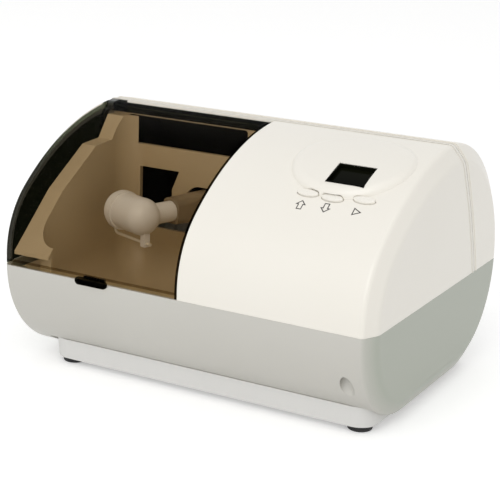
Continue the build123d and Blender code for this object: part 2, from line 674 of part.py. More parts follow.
def chamber_liner():
    """Moulded tub of the mixing chamber with its rims and its windowed rear wall."""
    skin = bowl(LINER_WALL) - bowl(0)
    low = block(-REACH, REACH, -REACH, REACH, -REACH, RIM_TOP)
    body = skin & low
    body += skin & side_rim(0)
    flange = block(LINER_LEFT, LINER_RIGHT, FRONT_Y + LINER_INSET, REAR_WALL_Y, RIM_TOP - LINER_WALL, RIM_TOP)
    body += flange - bowl(0)
    body += side_rim(0) - side_rim(LINER_WALL) - bowl(0)
    wall_top = HINGE_Z - 1.5
    rear = block(
        LINER_LEFT,
        LINER_RIGHT,
        REAR_WALL_Y,
        REAR_WALL_Y + REAR_WALL_THICKNESS,
        RIM_TOP - LINER_WALL,
        wall_top,
    )
    body += rear
    body &= case_body(LINER_INSET)
    notch = MAGNET_WIDTH / 2 + PANEL_GAP
    notch_back = FRONT_Y + WALL + LATCH_DEPTH + PANEL_GAP
    notch_low = SPLIT_HEIGHT - LID_GAP - LATCH_HEIGHT - REED_HEIGHT - PANEL_GAP
    body -= block(-TAB_CENTRE - notch, -TAB_CENTRE + notch, FRONT_Y, notch_back, notch_low, SPLIT_HEIGHT)
    for window in wall_windows():
        body -= window
    for x, y in liner_posts():
        body -= post(x, y, SCREW_RADIUS, LINER_FLOOR - 1, SPLIT_HEIGHT)
    return body


def liner_screws():
    """Screws that hold the liner on its posts."""
    screws = []
    for x, y in liner_posts():
        head_z = LINER_FLOOR + LINER_WALL
        head = post(x, y, SCREW_HEAD_RADIUS, head_z, head_z + SCREW_HEAD_HEIGHT)
        recess = post(x, y, SCREW_RADIUS, head_z + 1, head_z + SCREW_HEAD_HEIGHT)
        screws.append(head - recess + post(x, y, SCREW_RADIUS, FLOOR, head_z))
    return screws


# ---- control pod ----
def display_lens():
    """Dark window of the display, sunk in its own border."""
    tray = extrude(Rectangle(LENS_WIDTH, LENS_HEIGHT), -LENS_THICKNESS)
    well = Rectangle(LENS_WIDTH - 2 * LENS_BORDER, LENS_HEIGHT - 2 * LENS_BORDER)
    return LENS_FRAME * (tray - extrude(well, -LENS_RECESS))


def control_board():
    """Circuit board that carries the display and the key switches."""
    board = extrude(Rectangle(BOARD_WIDTH, BOARD_LENGTH), -BOARD_THICKNESS)
    for u, v in board_posts():
        board -= Pos(u, v, -BOARD_THICKNESS) * extrude(Circle(SCREW_RADIUS), BOARD_THICKNESS)
    return BOARD_FRAME * board


def board_screws():
    """Four screws under the board."""
    screws = []
    for u, v in board_posts():
        head = Pos(0, 0, -BOARD_THICKNESS - SCREW_HEAD_HEIGHT) * extrude(Circle(SCREW_HEAD_RADIUS), SCREW_HEAD_HEIGHT)
        shank = Pos(0, 0, -BOARD_THICKNESS) * extrude(Circle(SCREW_RADIUS), BOARD_THICKNESS + 6)
        screws.append(BOARD_FRAME * Pos(u, v, 0) * (head + shank))
    return screws


def display_module():
    """Two-figure light display that stands on the board under the window."""
    base = BOARD_FRAME.inverse() * LENS_FRAME
    place = base.position
    height = place.Z - LENS_THICKNESS - WALL - LENS_HEIGHT / 2 * sin(radians(DISPLAY_SLOPE)) - 0.5
    body = extrude(Rectangle(LENS_WIDTH - 4, LENS_HEIGHT - 4), height)
    return BOARD_FRAME * Pos(place.X, place.Y, 0) * body


def key(name):
    """One oval key with its stem."""
    u, v = KEY_PLACES[name]
    cap = key_shape(u, v, 0, -KEY_SKIRT, KEY_PROUD)
    cap = fillet(cap.faces().sort_by(Axis.Z)[-1].edges(), KEY_ROUND)
    stem_low = -BOARD_DROP + SWITCH_TALL + KEY_TRAVEL + KEY_FREE_PLAY
    stem = Pos(u, v, stem_low) * extrude(Circle(KEY_STEM_RADIUS), -KEY_SKIRT - stem_low)
    return KEY_FRAME * (cap + stem)


def tact_switches():
    """Three key switches on the board."""
    switches = []
    for u, v in KEY_PLACES.values():
        base = extrude(Rectangle(6, 6), 2.5)
        stem = Pos(0, 0, 2.5) * extrude(Circle(1.7), SWITCH_TALL - 2.5)
        switches.append(BOARD_FRAME * Pos(u, v - BOARD_SHIFT, 0) * (base + stem))
    return switches


# ---- mixing mechanism ----
def capsule_cup():
    """Fixed, round-ended half of the capsule holder with its spigot and wire guide."""
    body = CUP_FRAME * Sphere(CUP_RADIUS)
    body &= rod(CUP_FRAME, CUP_RADIUS + 1, 0, CUP_RADIUS + 1)
    body += rod(CUP_FRAME, SPIGOT_RADIUS, -SPIGOT_LENGTH, 0)
    lug = CUP_FRAME * Pos(4, 0, -(CUP_RADIUS + WIRE_DROP) / 2) * Box(4, 4, WIRE_DROP - CUP_RADIUS + 4)
    body += lug
    body -= rod(CUP_FRAME, SOCKET_RADIUS, -SPIGOT_LENGTH, SOCKET_DEPTH)
    body -= rod(CUP_FRAME * Pos(0, 0, -WIRE_DROP), WIRE_RADIUS + 0.15, -CAP_LENGTH, CAP_LENGTH)
    return body


def capsule_cap():
    """Sleeve that closes the holder and slides off to load a capsule."""
    body = rod(CUP_FRAME, CUP_RADIUS - 0.2, -CAP_LENGTH, -0.3)
    ends = body.faces().filter_by(GeomType.PLANE).sort_by(Axis.X)[0].edges()
    body = fillet(ends, CAP_END)
    body += rod(CUP_FRAME, CUP_RADIUS + 0.6, -CAP_LENGTH + CAP_END + 1, -CAP_LENGTH + CAP_END + 5)
    body -= rod(CUP_FRAME, SPIGOT_RADIUS + SLEEVE_CLEARANCE, -SPIGOT_LENGTH - 0.5, 1)
    body -= rod(CUP_FRAME, SOCKET_RADIUS, -CAP_LENGTH + CAP_END, 1)
    return body


def clamp_wire():
    """Sprung wire from the cap's end back under the cup."""
    start = (-CAP_LENGTH - WIRE_RADIUS, 0, -4)
    knee = (-CAP_LENGTH - WIRE_RADIUS, 0, -WIRE_DROP)
    tail = (CUP_RADIUS - 2, 0, -WIRE_DROP)
    path = FilletPolyline(start, knee, tail, radius=4.0)
    section = Plane(start, z_dir=(0, 0, -1)) * Circle(WIRE_RADIUS)
    return CUP_FRAME * sweep(section, path=path)


def arm_collar():
    """Short round neck between the cup and the arm."""
    along = CUP_FRAME * Rot(0, 0, 90)
    body = rod(along, COLLAR_RADIUS, 0, COLLAR_END)
    body -= CUP_FRAME * Sphere(CUP_RADIUS)
    body -= rod(CUP_FRAME, CUP_RADIUS + 0.8, -CAP_LENGTH, 0)
    return body


def mixing_arm():
    """Tapered arm from the hub to the collar."""
    start = CUP_FRAME * Location(Plane((0, COLLAR_END, 0), x_dir=(1, 0, 0), z_dir=(0, 1, 0)))
    end = CUP_FRAME * Location(Plane((0, ARM_LENGTH - 9, 0), x_dir=(1, 0, 0), z_dir=(0, 1, 0)))
    slim = start * RectangleRounded(14.5, 15, 4)
    thick = end * RectangleRounded(HUB_WIDTH, 20, 4)
    body = loft([slim, thick])
    return body - rod(HUB_FRAME, HUB_RADIUS, -HUB_WIDTH, HUB_WIDTH)


def arm_hub():
    """Hub ring with the pin that the centering leaf holds."""
    body = rod(HUB_FRAME, HUB_RADIUS, -HUB_WIDTH / 2, HUB_WIDTH / 2)
    shoulder_low = LEAF_TOP + LEAF_GAP
    shoulder = Pos(0, 0, shoulder_low) * extrude(Circle(2 * SWING_PIN_RADIUS), -HUB_RADIUS + 1 - shoulder_low)
    pin = Pos(0, 0, LEAF_TOP - SWING_PIN_REACH) * extrude(Circle(SWING_PIN_RADIUS), SWING_PIN_REACH + LEAF_GAP)
    body += HUB_FRAME * (shoulder + pin)
    return body - rod(HUB_FRAME, BEARING_RADIUS, -HUB_WIDTH, HUB_WIDTH)


def hub_bearing():
    """Bearing ring inside the hub."""
    ring = rod(HUB_FRAME, BEARING_RADIUS, -BEARING_WIDTH / 2, BEARING_WIDTH / 2)
    return ring - rod(HUB_FRAME, BEARING_BORE, -BEARING_WIDTH, BEARING_WIDTH)


def oblique_journal():
    """Slanted sleeve on the shaft that makes the hub rock."""
    tilted = HUB_FRAME * Rot(0, JOURNAL_TILT, 0)
    body = rod(tilted, JOURNAL_RADIUS, -JOURNAL_LENGTH / 2, JOURNAL_LENGTH / 2)
    return body - rod(HUB_FRAME, SHAFT_RADIUS, -JOURNAL_LENGTH, JOURNAL_LENGTH)


def motor_span():
    """Where the motor's can starts and ends along the shaft."""
    start = UPRIGHT_RIGHT + SHEET
    return start, start + MOTOR_LENGTH


def motor_shaft():
    """Shaft with its wound rotor inside the motor."""
    start, end = motor_span()
    body = rod(HUB_FRAME, SHAFT_RADIUS, SHAFT_START, end)
    return body + rod(HUB_FRAME, MOTOR_RADIUS - 2 * MOTOR_WALL, start + 10, end - 10)


def flywheel():
    """Flywheel with a flat side for balance."""
    body = rod(HUB_FRAME, FLYWHEEL_RADIUS, FLYWHEEL_START, FLYWHEEL_START + FLYWHEEL_WIDTH)
    flat = HUB_FRAME * Pos(FLYWHEEL_START, 0, -FLYWHEEL_RADIUS) * Box(4 * FLYWHEEL_WIDTH, REACH, FLYWHEEL_RADIUS * 0.6)
    return body - flat - rod(HUB_FRAME, SHAFT_RADIUS, 0, 2 * FLYWHEEL_START)


def motor_can():
    """Steel can of the motor."""
    start, end = motor_span()
    body = rod(HUB_FRAME, MOTOR_RADIUS, start + MOTOR_WALL, end - MOTOR_WALL)
    return body - rod(HUB_FRAME, MOTOR_RADIUS - MOTOR_WALL, start, end)


def motor_end_caps():
    """Front and back covers of the motor with the shaft's bearings."""
    start, end = motor_span()
    caps = []
    for low in (start, end - MOTOR_WALL):
        cap = rod(HUB_FRAME, MOTOR_RADIUS, low, low + MOTOR_WALL)
        caps.append(cap - rod(HUB_FRAME, SHAFT_RADIUS + SHAFT_CLEARANCE, low - 1, low + MOTOR_WALL + 1))
    return caps


def plate_corners():
    """Centres of the rubber mounts in the hub's frame."""
    half_y = PLATE_WIDTH / 2 - MOUNT_INSET
    return [(x, y) for x in (UPRIGHT_LEFT + MOUNT_INSET, UPRIGHT_RIGHT - MOUNT_INSET) for y in (-half_y, half_y)]


def motor_bracket():
    """Sheet bracket with two uprights for the shaft and the motor."""
    length = UPRIGHT_RIGHT + SHEET - UPRIGHT_LEFT
    centre = (UPRIGHT_RIGHT + SHEET + UPRIGHT_LEFT) / 2
    body = HUB_FRAME * Pos(centre, 0, -PLATE_DROP + SHEET / 2) * Box(length, PLATE_WIDTH, SHEET)
    for x in (UPRIGHT_LEFT, UPRIGHT_RIGHT):
        wall = HUB_FRAME * Pos(x + SHEET / 2, 0, (MOTOR_RADIUS - 2 - PLATE_DROP) / 2)
        wall = wall * Box(SHEET, PLATE_WIDTH, MOTOR_RADIUS - 2 + PLATE_DROP)
        tops = wall.edges().filter_by(lambda edge: abs(edge.length - SHEET) < TINY and edge.center().Z > MIX_Z)
        body += fillet(tops, 10)
    body -= rod(HUB_FRAME, 8, UPRIGHT_LEFT - 1, UPRIGHT_LEFT + SHEET + 1)
    body -= rod(HUB_FRAME, 7, UPRIGHT_RIGHT - 1, UPRIGHT_RIGHT + SHEET + 1)
    for x, y in plate_corners():
        body -= HUB_FRAME * Pos(x, y, -PLATE_DROP) * Cylinder(SCREW_RADIUS, 3 * SHEET)
    return body


def pedestal_bearing():
    """Flanged bearing of the shaft's free end."""
    ring = rod(HUB_FRAME, 8, UPRIGHT_LEFT, UPRIGHT_LEFT + SHEET)
    ring += rod(HUB_FRAME, 10, UPRIGHT_LEFT + SHEET, UPRIGHT_LEFT + SHEET + 3)
    return ring - rod(HUB_FRAME, SHAFT_RADIUS + SHAFT_CLEARANCE, UPRIGHT_LEFT - 1, 0)


def motor_mounts():
    """Rubber posts between the housing floor and the bracket."""
    mounts = []
    height = PLATE_HEIGHT - FLOOR
    for x, y in plate_corners():
        body = HUB_FRAME * Pos(x, y, -PLATE_DROP - height / 2) * Cylinder(MOUNT_RADIUS, height)
        mounts.append(body - HUB_FRAME * Pos(x, y, -PLATE_DROP) * Cylinder(SCREW_RADIUS, height))
    return mounts


def bracket_screws():
    """Screws through the bracket into the rubber mounts."""
    screws = []
    depth = (PLATE_HEIGHT - FLOOR) / 2
    for x, y in plate_corners():
        head = Pos(0, 0, SHEET) * extrude(Circle(SCREW_HEAD_RADIUS), SCREW_HEAD_HEIGHT)
        head -= Pos(0, 0, SHEET + 1) * extrude(Circle(SCREW_RADIUS), SCREW_HEAD_HEIGHT)
        shank = Pos(0, 0, -depth) * extrude(Circle(SCREW_RADIUS), depth + SHEET)
        screws.append(HUB_FRAME * Pos(x, y, -PLATE_DROP) * (head + shank))
    return screws


def centering_leaf():
    """Leaf spring that keeps the hub from turning with the shaft."""
    low = -PLATE_DROP + SHEET
    strip = HUB_FRAME * Pos(0, -14, (LEAF_TOP + low) / 2) * Box(10, LEAF_THICKNESS, LEAF_TOP - low)
    foot = HUB_FRAME * Pos(0, -10, low + LEAF_THICKNESS / 2) * Box(10, 8 + LEAF_THICKNESS, LEAF_THICKNESS)
    tongue = HUB_FRAME * Pos(0, -5, LEAF_TOP - LEAF_THICKNESS / 2) * Box(10, 18 + LEAF_THICKNESS, LEAF_THICKNESS)
    return strip + foot + tongue - HUB_FRAME * Pos(0, 0, LEAF_TOP) * Cylinder(SWING_PIN_RADIUS + PIN_CLEARANCE, 6)


# ---- mains parts ----
def power_inlet():
    """Appliance inlet with its flange, socket and three blades."""
    panel_y = BACK_Y - PANEL_DEPTH
    middle = (PANEL_LOW + PANEL_HIGH) / 2
    flange = Pos(INLET_X, panel_y + FLANGE_THICKNESS / 2, middle) * Box(
        INLET_WIDTH + 2 * FLANGE_MARGIN, FLANGE_THICKNESS, INLET_HEIGHT + 2 * FLANGE_MARGIN
    )
    flange = fillet(flange.edges().filter_by(Axis.Y), 3)
    body = flange + Pos(INLET_X, panel_y - INLET_DEPTH / 2, middle) * Box(INLET_WIDTH, INLET_DEPTH, INLET_HEIGHT)
    mouth = Plane((INLET_X, panel_y + FLANGE_THICKNESS, middle), x_dir=(-1, 0, 0), z_dir=(0, 1, 0))
    socket = mouth * RectangleRounded(INLET_WIDTH - 3, INLET_HEIGHT - 3, 3)
    body -= extrude(socket, -(INLET_DEPTH - 1.5))
    for dx, dz in ((-7, -2), (0, 2), (7, -2)):
        body += Pos(INLET_X + dx, panel_y - INLET_DEPTH + 5.5, middle + dz) * Box(1.6, 8, 4)
    return body


def power_switch_body():
    """Frame of the rocker switch."""
    panel_y = BACK_Y - PANEL_DEPTH
    middle = (PANEL_LOW + PANEL_HIGH) / 2
    body = Pos(SWITCH_X, panel_y + FLANGE_THICKNESS / 2, middle) * Box(
        SWITCH_WIDTH + 2 * FLANGE_MARGIN, FLANGE_THICKNESS, SWITCH_HEIGHT + 2 * FLANGE_MARGIN
    )
    body += Pos(SWITCH_X, panel_y - SWITCH_DEPTH / 2, middle) * Box(SWITCH_WIDTH, SWITCH_DEPTH, SWITCH_HEIGHT)
    well = Box(SWITCH_WIDTH - 2.6, SWITCH_DEPTH, SWITCH_HEIGHT - 2.6)
    body -= Pos(SWITCH_X, panel_y + FLANGE_THICKNESS - SWITCH_DEPTH / 2, middle) * well
    return body - rod(ROCKER_FRAME, 1.0, -SWITCH_WIDTH / 2, SWITCH_WIDTH / 2)


ROCKER_FRAME = Pos(SWITCH_X, BACK_Y - PANEL_DEPTH - 3.0, (PANEL_LOW + PANEL_HIGH) / 2)


def power_rocker():
    """Two-sided rocker on its own pin, shown switched off."""
    radius = SWITCH_HEIGHT / 2 - 1.3 - 0.3
    half_width = SWITCH_WIDTH / 2 - 1.3 - 0.3
    body = rod(Pos(0, 0, 0), radius, -half_width, half_width)
    wedge = Polyline([(0, 3.4), (radius, 6.8), (radius, 20), (-radius, 20), (-radius, 6.8)], close=True)
    notch = extrude(Plane((0, 0, 0), x_dir=(0, 0, 1), z_dir=(-1, 0, 0)) * make_face(wedge), REACH, both=True)
    body -= notch
    body -= block(-REACH, REACH, -REACH, -2.5, -REACH, REACH)
    body += rod(Pos(0, 0, 0), 0.95, -SWITCH_WIDTH / 2 + 0.3, SWITCH_WIDTH / 2 - 0.3)
    return ROCKER_FRAME * Rot(-ROCKER_ANGLE, 0, 0) * body


def transformer_place():
    """Centre of the transformer on the housing floor."""
    return (74.0, FRONT_Y + 118.0)


def transformer_core():
    """Laminated core with its mounting feet."""
    x, y = transformer_place()
    body = Pos(x, y, FLOOR + 2 + 17) * Box(40, 18, 34)
    body += Pos(x, y, FLOOR + 1) * Box(58, 18, 2)
    for side in (-1, 1):
        body -= Pos(x + side * 10, y, FLOOR + 2 + 17) * Box(8, 20, 22)
        body -= post(x + side * 25, y, SCREW_RADIUS, FLOOR - 1, FLOOR + 3)
    return body


def transformer_coil():
    """Windings around the core's middle leg."""
    x, y = transformer_place()
    body = Pos(x, y, FLOOR + 2 + 17) * Box(27.6, 30, 21.6)
    body = fillet(body.edges().filter_by(Axis.Z), 4)
    core = Pos(x, y, FLOOR + 2 + 17) * Box(12, 18, 34)
    sides = [Pos(x + side * 17, y, FLOOR + 2 + 17) * Box(6, 18, 34) for side in (-1, 1)]
    return body - core - sides


def transformer_screws():
    """Screws that hold the transformer's feet."""
    x, y = transformer_place()
    screws = []
    for side in (-1, 1):
        head = post(x + side * 25, y, SCREW_HEAD_RADIUS, FLOOR + 2, FLOOR + 2 + SCREW_HEAD_HEIGHT)
        screws.append(head + post(x + side * 25, y, SCREW_RADIUS, FLOOR, FLOOR + 2))
    return screws


PARTS = {
    "lower_housing": lower_housing,
    "base_plinth": base_plinth,
    "foot_pads": foot_pads,
    "foot_screws": foot_screws,
    "case_screws": case_screws,
    "front_cover": front_cover,
    "rear_cover": rear_cover,
    "lid": lid,
    "lid_hinge_pins": lid_hinge_pins,
    "lid_magnet": lid_magnet,
    "latch_plate": latch_plate,
    "reed_switch": reed_switch,
    "chamber_liner": chamber_liner,
    "liner_screws": liner_screws,
    "display_lens": display_lens,
    "display_module": display_module,
    "control_board": control_board,
    "board_screws": board_screws,
    "tact_switches": tact_switches,
    "capsule_cup": capsule_cup,
    "capsule_cap": capsule_cap,
    "clamp_wire": clamp_wire,
    "arm_collar": arm_collar,
    "mixing_arm": mixing_arm,
    "arm_hub": arm_hub,
    "hub_bearing": hub_bearing,
    "oblique_journal": oblique_journal,
    "motor_shaft": motor_shaft,
    "flywheel": flywheel,
    "motor_can": motor_can,
    "motor_end_caps": motor_end_caps,
    "motor_bracket": motor_bracket,
    "pedestal_bearing": pedestal_bearing,
    "motor_mounts": motor_mounts,
    "bracket_screws": bracket_screws,
    "centering_leaf": centering_leaf,
    "power_inlet": power_inlet,
    "power_switch_body": power_switch_body,
    "power_rocker": power_rocker,
    "transformer_core": transformer_core,
    "transformer_coil": transformer_coil,
    "transformer_screws": transformer_screws,
}
for key_name in KEY_PLACES:
    PARTS[key_name] = lambda name=key_name: key(name)


def main():
    """Build each piece, move it to the case's middle and write it as its own file."""
    os.makedirs("parts", exist_ok=True)
    to_middle = Pos(-(LEFT_X + RIGHT_X) / 2, 0, 0)
    for name, build in PARTS.items():
        piece = build()
        if isinstance(piece, list):
            piece = Compound(children=[to_middle * solid for solid in piece])
        else:
            piece = to_middle * piece
        export_step(piece, f"parts/{name}.step")


main()
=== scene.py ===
"""Finishes, printed marks and studio of a benchtop capsule mixer.

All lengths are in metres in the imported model's frame: +X is the user's right, +Y runs from the
front to the back and +Z is up. The mixer stands on the floor at the origin.
"""
import logging
from dataclasses import dataclass, field
from enum import Enum
from math import asin, cos, hypot, pi, radians, sin, sqrt
from typing import Any, Iterable, Protocol

import bpy
from mathutils import Matrix, Vector


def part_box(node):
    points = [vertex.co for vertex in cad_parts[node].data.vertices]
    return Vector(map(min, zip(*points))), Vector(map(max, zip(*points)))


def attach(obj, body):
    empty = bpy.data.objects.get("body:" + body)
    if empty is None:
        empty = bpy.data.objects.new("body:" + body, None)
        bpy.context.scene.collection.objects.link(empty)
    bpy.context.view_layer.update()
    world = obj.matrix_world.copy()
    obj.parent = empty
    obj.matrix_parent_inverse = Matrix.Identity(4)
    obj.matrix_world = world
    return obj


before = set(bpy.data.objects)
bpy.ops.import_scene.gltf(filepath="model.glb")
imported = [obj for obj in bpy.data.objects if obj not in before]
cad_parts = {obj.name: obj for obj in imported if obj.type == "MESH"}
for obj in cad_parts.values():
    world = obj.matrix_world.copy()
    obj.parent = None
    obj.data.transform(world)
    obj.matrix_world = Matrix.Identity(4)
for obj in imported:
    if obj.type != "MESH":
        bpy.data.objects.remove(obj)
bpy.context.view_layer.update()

MM = 0.001
WHITE = (1.0, 1.0, 1.0, 1.0)
NOISE_MIDDLE = 0.5
BEVEL_SAMPLES = 4
log = logging.getLogger("capsule_mixer")

Colour = tuple[float, float, float]
Point = tuple[float, float, float]
Outline = list[tuple[float, float]]
Socket = bpy.types.NodeSocket


class Axis(Enum):
    """Direction that a brushed or turned grain runs in."""

    X = 0
    Y = 1
    Z = 2


class Effect(Enum):
    """Shared surface effects, one node group each."""

    MOULDED = "moulded skin"
    BRUSHED = "brushed grain"
    HANDLED = "handling marks"
    BANDS = "stacked bands"


def linear(value: float) -> float:
    """Return the linear value of one display channel."""
    return value / 12.92 if value <= 0.04045 else ((value + 0.055) / 1.055) ** 2.4


def shade(red: int, green: int, blue: int) -> Colour:
    """Return the linear colour of an 8-bit display colour."""
    return (linear(red / 255), linear(green / 255), linear(blue / 255))


def add_math(tree: bpy.types.NodeTree, kind: str, first: Any, second: Any = 0.0) -> Socket:
    """Add a math node to a tree and return its result.

    Args:
        tree: Tree to add to.
        kind: Math operation.
        first: Socket or number.
        second: Socket or number, which an operation on one value ignores.

    Returns:
        The output socket.
    """
    node = tree.nodes.new("ShaderNodeMath")
    node.operation = kind
    for index, value in enumerate((first, second)):
        if isinstance(value, (int, float)):
            node.inputs[index].default_value = value
        else:
            tree.links.new(value, node.inputs[index])
    return node.outputs[0]


# ---------------------------------------------------------------- shared surface effects
class EffectShop:
    """Builds each shared effect once, as a shader node group."""

    def __init__(self) -> None:
        """Start with no groups built."""
        self.groups: dict[Effect, bpy.types.NodeTree] = {}

    def get(self, effect: Effect) -> bpy.types.NodeTree:
        """Return the group of an effect and build it at its first use.

        Args:
            effect: Which effect is wanted.

        Returns:
            The node group.
        """
        if effect not in self.groups:
            makers = {
                Effect.MOULDED: self._moulded,
                Effect.BRUSHED: self._brushed,
                Effect.HANDLED: self._handled,
                Effect.BANDS: self._bands,
            }
            self.groups[effect] = makers[effect]()
        return self.groups[effect]

    @staticmethod
    def _new(name: str, inputs: dict[str, float], outputs: Iterable[str]) -> bpy.types.NodeTree:
        """Make an empty group with a vector input, value inputs and value outputs.

        Args:
            name: Name of the group.
            inputs: Value inputs with their defaults.
            outputs: Names of the value outputs.

        Returns:
            The group with its input and output nodes.
        """
        tree = bpy.data.node_groups.new(name, "ShaderNodeTree")
        tree.interface.new_socket("Vector", in_out="INPUT", socket_type="NodeSocketVector")
        for label, value in inputs.items():
            socket = tree.interface.new_socket(label, in_out="INPUT", socket_type="NodeSocketFloat")
            socket.default_value = value
        for label in outputs:
            tree.interface.new_socket(label, in_out="OUTPUT", socket_type="NodeSocketFloat")
        tree.nodes.new("NodeGroupInput").name = "in"
        tree.nodes.new("NodeGroupOutput").name = "out"
        return tree

    @staticmethod
    def _noise(tree: bpy.types.NodeTree, scale: str, octaves: float) -> bpy.types.Node:
        """Add a noise texture that reads the group's vector and one of its scales.

        Args:
            tree: Group to add to.
            scale: Name of the group input that sets the noise scale.
            octaves: Number of octaves.

        Returns:
            The noise node.
        """
        source = tree.nodes["in"]
        node = tree.nodes.new("ShaderNodeTexNoise")
        node.inputs["Detail"].default_value = octaves
        tree.links.new(source.outputs["Vector"], node.inputs["Vector"])
        tree.links.new(source.outputs[scale], node.inputs["Scale"])
        return node

    @staticmethod
    def _stretch(tree: bpy.types.NodeTree, operation: str) -> bpy.types.Node:
        """Combine the group's vector with its three stretches.

        Args:
            tree: Group to add to.
            operation: Vector operation.

        Returns:
            The vector math node.
        """
        source = tree.nodes["in"]
        weights = tree.nodes.new("ShaderNodeCombineXYZ")
        for label in "XYZ":
            tree.links.new(source.outputs[f"Stretch {label}"], weights.inputs[label])
        node = tree.nodes.new("ShaderNodeVectorMath")
        node.operation = operation
        tree.links.new(source.outputs["Vector"], node.inputs[0])
        tree.links.new(weights.outputs[0], node.inputs[1])
        return node

    @staticmethod
    def _swing(tree: bpy.types.NodeTree, noise: bpy.types.Node) -> Socket:
        """Centre a noise on zero and scale it by the group's spread.

        Args:
            tree: Group to add to.
            noise: Noise node.

        Returns:
            The swing to add to the roughness.
        """
        centred = add_math(tree, "SUBTRACT", noise.outputs["Fac"], NOISE_MIDDLE)
        return add_math(tree, "MULTIPLY", centred, tree.nodes["in"].outputs["Spread"])

    def _moulded(self) -> bpy.types.NodeTree:
        """Build a fine spark grain with slow changes of tone and sheen, as moulded plastic has.

        Returns:
            The node group.
        """
        inputs = {"Grain Scale": 1500.0, "Cloud Scale": 18.0, "Roughness": 0.4, "Spread": 0.05}
        tree = self._new(Effect.MOULDED.value, inputs, ("Tone", "Roughness", "Height"))
        source, target = tree.nodes["in"], tree.nodes["out"]
        grain = self._noise(tree, "Grain Scale", octaves=2.0)
        cloud = self._noise(tree, "Cloud Scale", octaves=4.0)
        rough = add_math(tree, "ADD", source.outputs["Roughness"], self._swing(tree, cloud))
        rough = add_math(tree, "ADD", rough, self._swing(tree, grain))
        tree.links.new(cloud.outputs["Fac"], target.inputs["Tone"])
        tree.links.new(rough, target.inputs["Roughness"])
        tree.links.new(grain.outputs["Fac"], target.inputs["Height"])
        return tree

    def _brushed(self) -> bpy.types.NodeTree:
        """Build long fine lines along one direction, for drawn, ground and turned metal.

        Returns:
            The node group.
        """
        inputs = {"Line Scale": 900.0, "Stretch X": 1.0, "Stretch Y": 1.0, "Stretch Z": 1.0}
        inputs.update({"Roughness": 0.3, "Spread": 0.15})
        tree = self._new(Effect.BRUSHED.value, inputs, ("Tone", "Roughness", "Height"))
        source, target = tree.nodes["in"], tree.nodes["out"]
        lines = self._noise(tree, "Line Scale", octaves=3.0)
        tree.links.new(self._stretch(tree, "MULTIPLY").outputs[0], lines.inputs["Vector"])
        rough = add_math(tree, "ADD", source.outputs["Roughness"], self._swing(tree, lines))
        tree.links.new(lines.outputs["Fac"], target.inputs["Tone"])
        tree.links.new(rough, target.inputs["Roughness"])
        tree.links.new(lines.outputs["Fac"], target.inputs["Height"])
        return tree

    def _handled(self) -> bpy.types.NodeTree:
        """Build faint smears and fine scuffs that change the sheen of polished plastic.

        Returns:
            The node group.
        """
        inputs = {"Smear Scale": 25.0, "Scuff Scale": 220.0, "Roughness": 0.1, "Spread": 0.1}
        tree = self._new(Effect.HANDLED.value, inputs, ("Mask", "Roughness", "Height"))
        source, target = tree.nodes["in"], tree.nodes["out"]
        smear = self._noise(tree, "Smear Scale", octaves=5.0)
        scuff = self._noise(tree, "Scuff Scale", octaves=3.0)
        both = add_math(tree, "MULTIPLY", smear.outputs["Fac"], scuff.outputs["Fac"])
        swing = add_math(tree, "MULTIPLY", both, source.outputs["Spread"])
        rough = add_math(tree, "ADD", source.outputs["Roughness"], swing)
        tree.links.new(both, target.inputs["Mask"])
        tree.links.new(rough, target.inputs["Roughness"])
        tree.links.new(smear.outputs["Fac"], target.inputs["Height"])
        return tree

    def _bands(self) -> bpy.types.NodeTree:
        """Build even bands along one direction, for laminations and windings.

        Returns:
            The node group.
        """
        inputs = {"Band Scale": 600.0, "Stretch X": 0.0, "Stretch Y": 0.0, "Stretch Z": 1.0}
        tree = self._new(Effect.BANDS.value, inputs, ("Mask", "Height"))
        source, target = tree.nodes["in"], tree.nodes["out"]
        along = self._stretch(tree, "DOT_PRODUCT").outputs["Value"]
        angle = add_math(tree, "MULTIPLY", along, source.outputs["Band Scale"])
        wave = add_math(tree, "SINE", angle)
        half = add_math(tree, "MULTIPLY", add_math(tree, "ADD", wave, 1.0), 0.5)
        tree.links.new(half, target.inputs["Mask"])
        tree.links.new(half, target.inputs["Height"])
        return tree


EFFECTS = EffectShop()


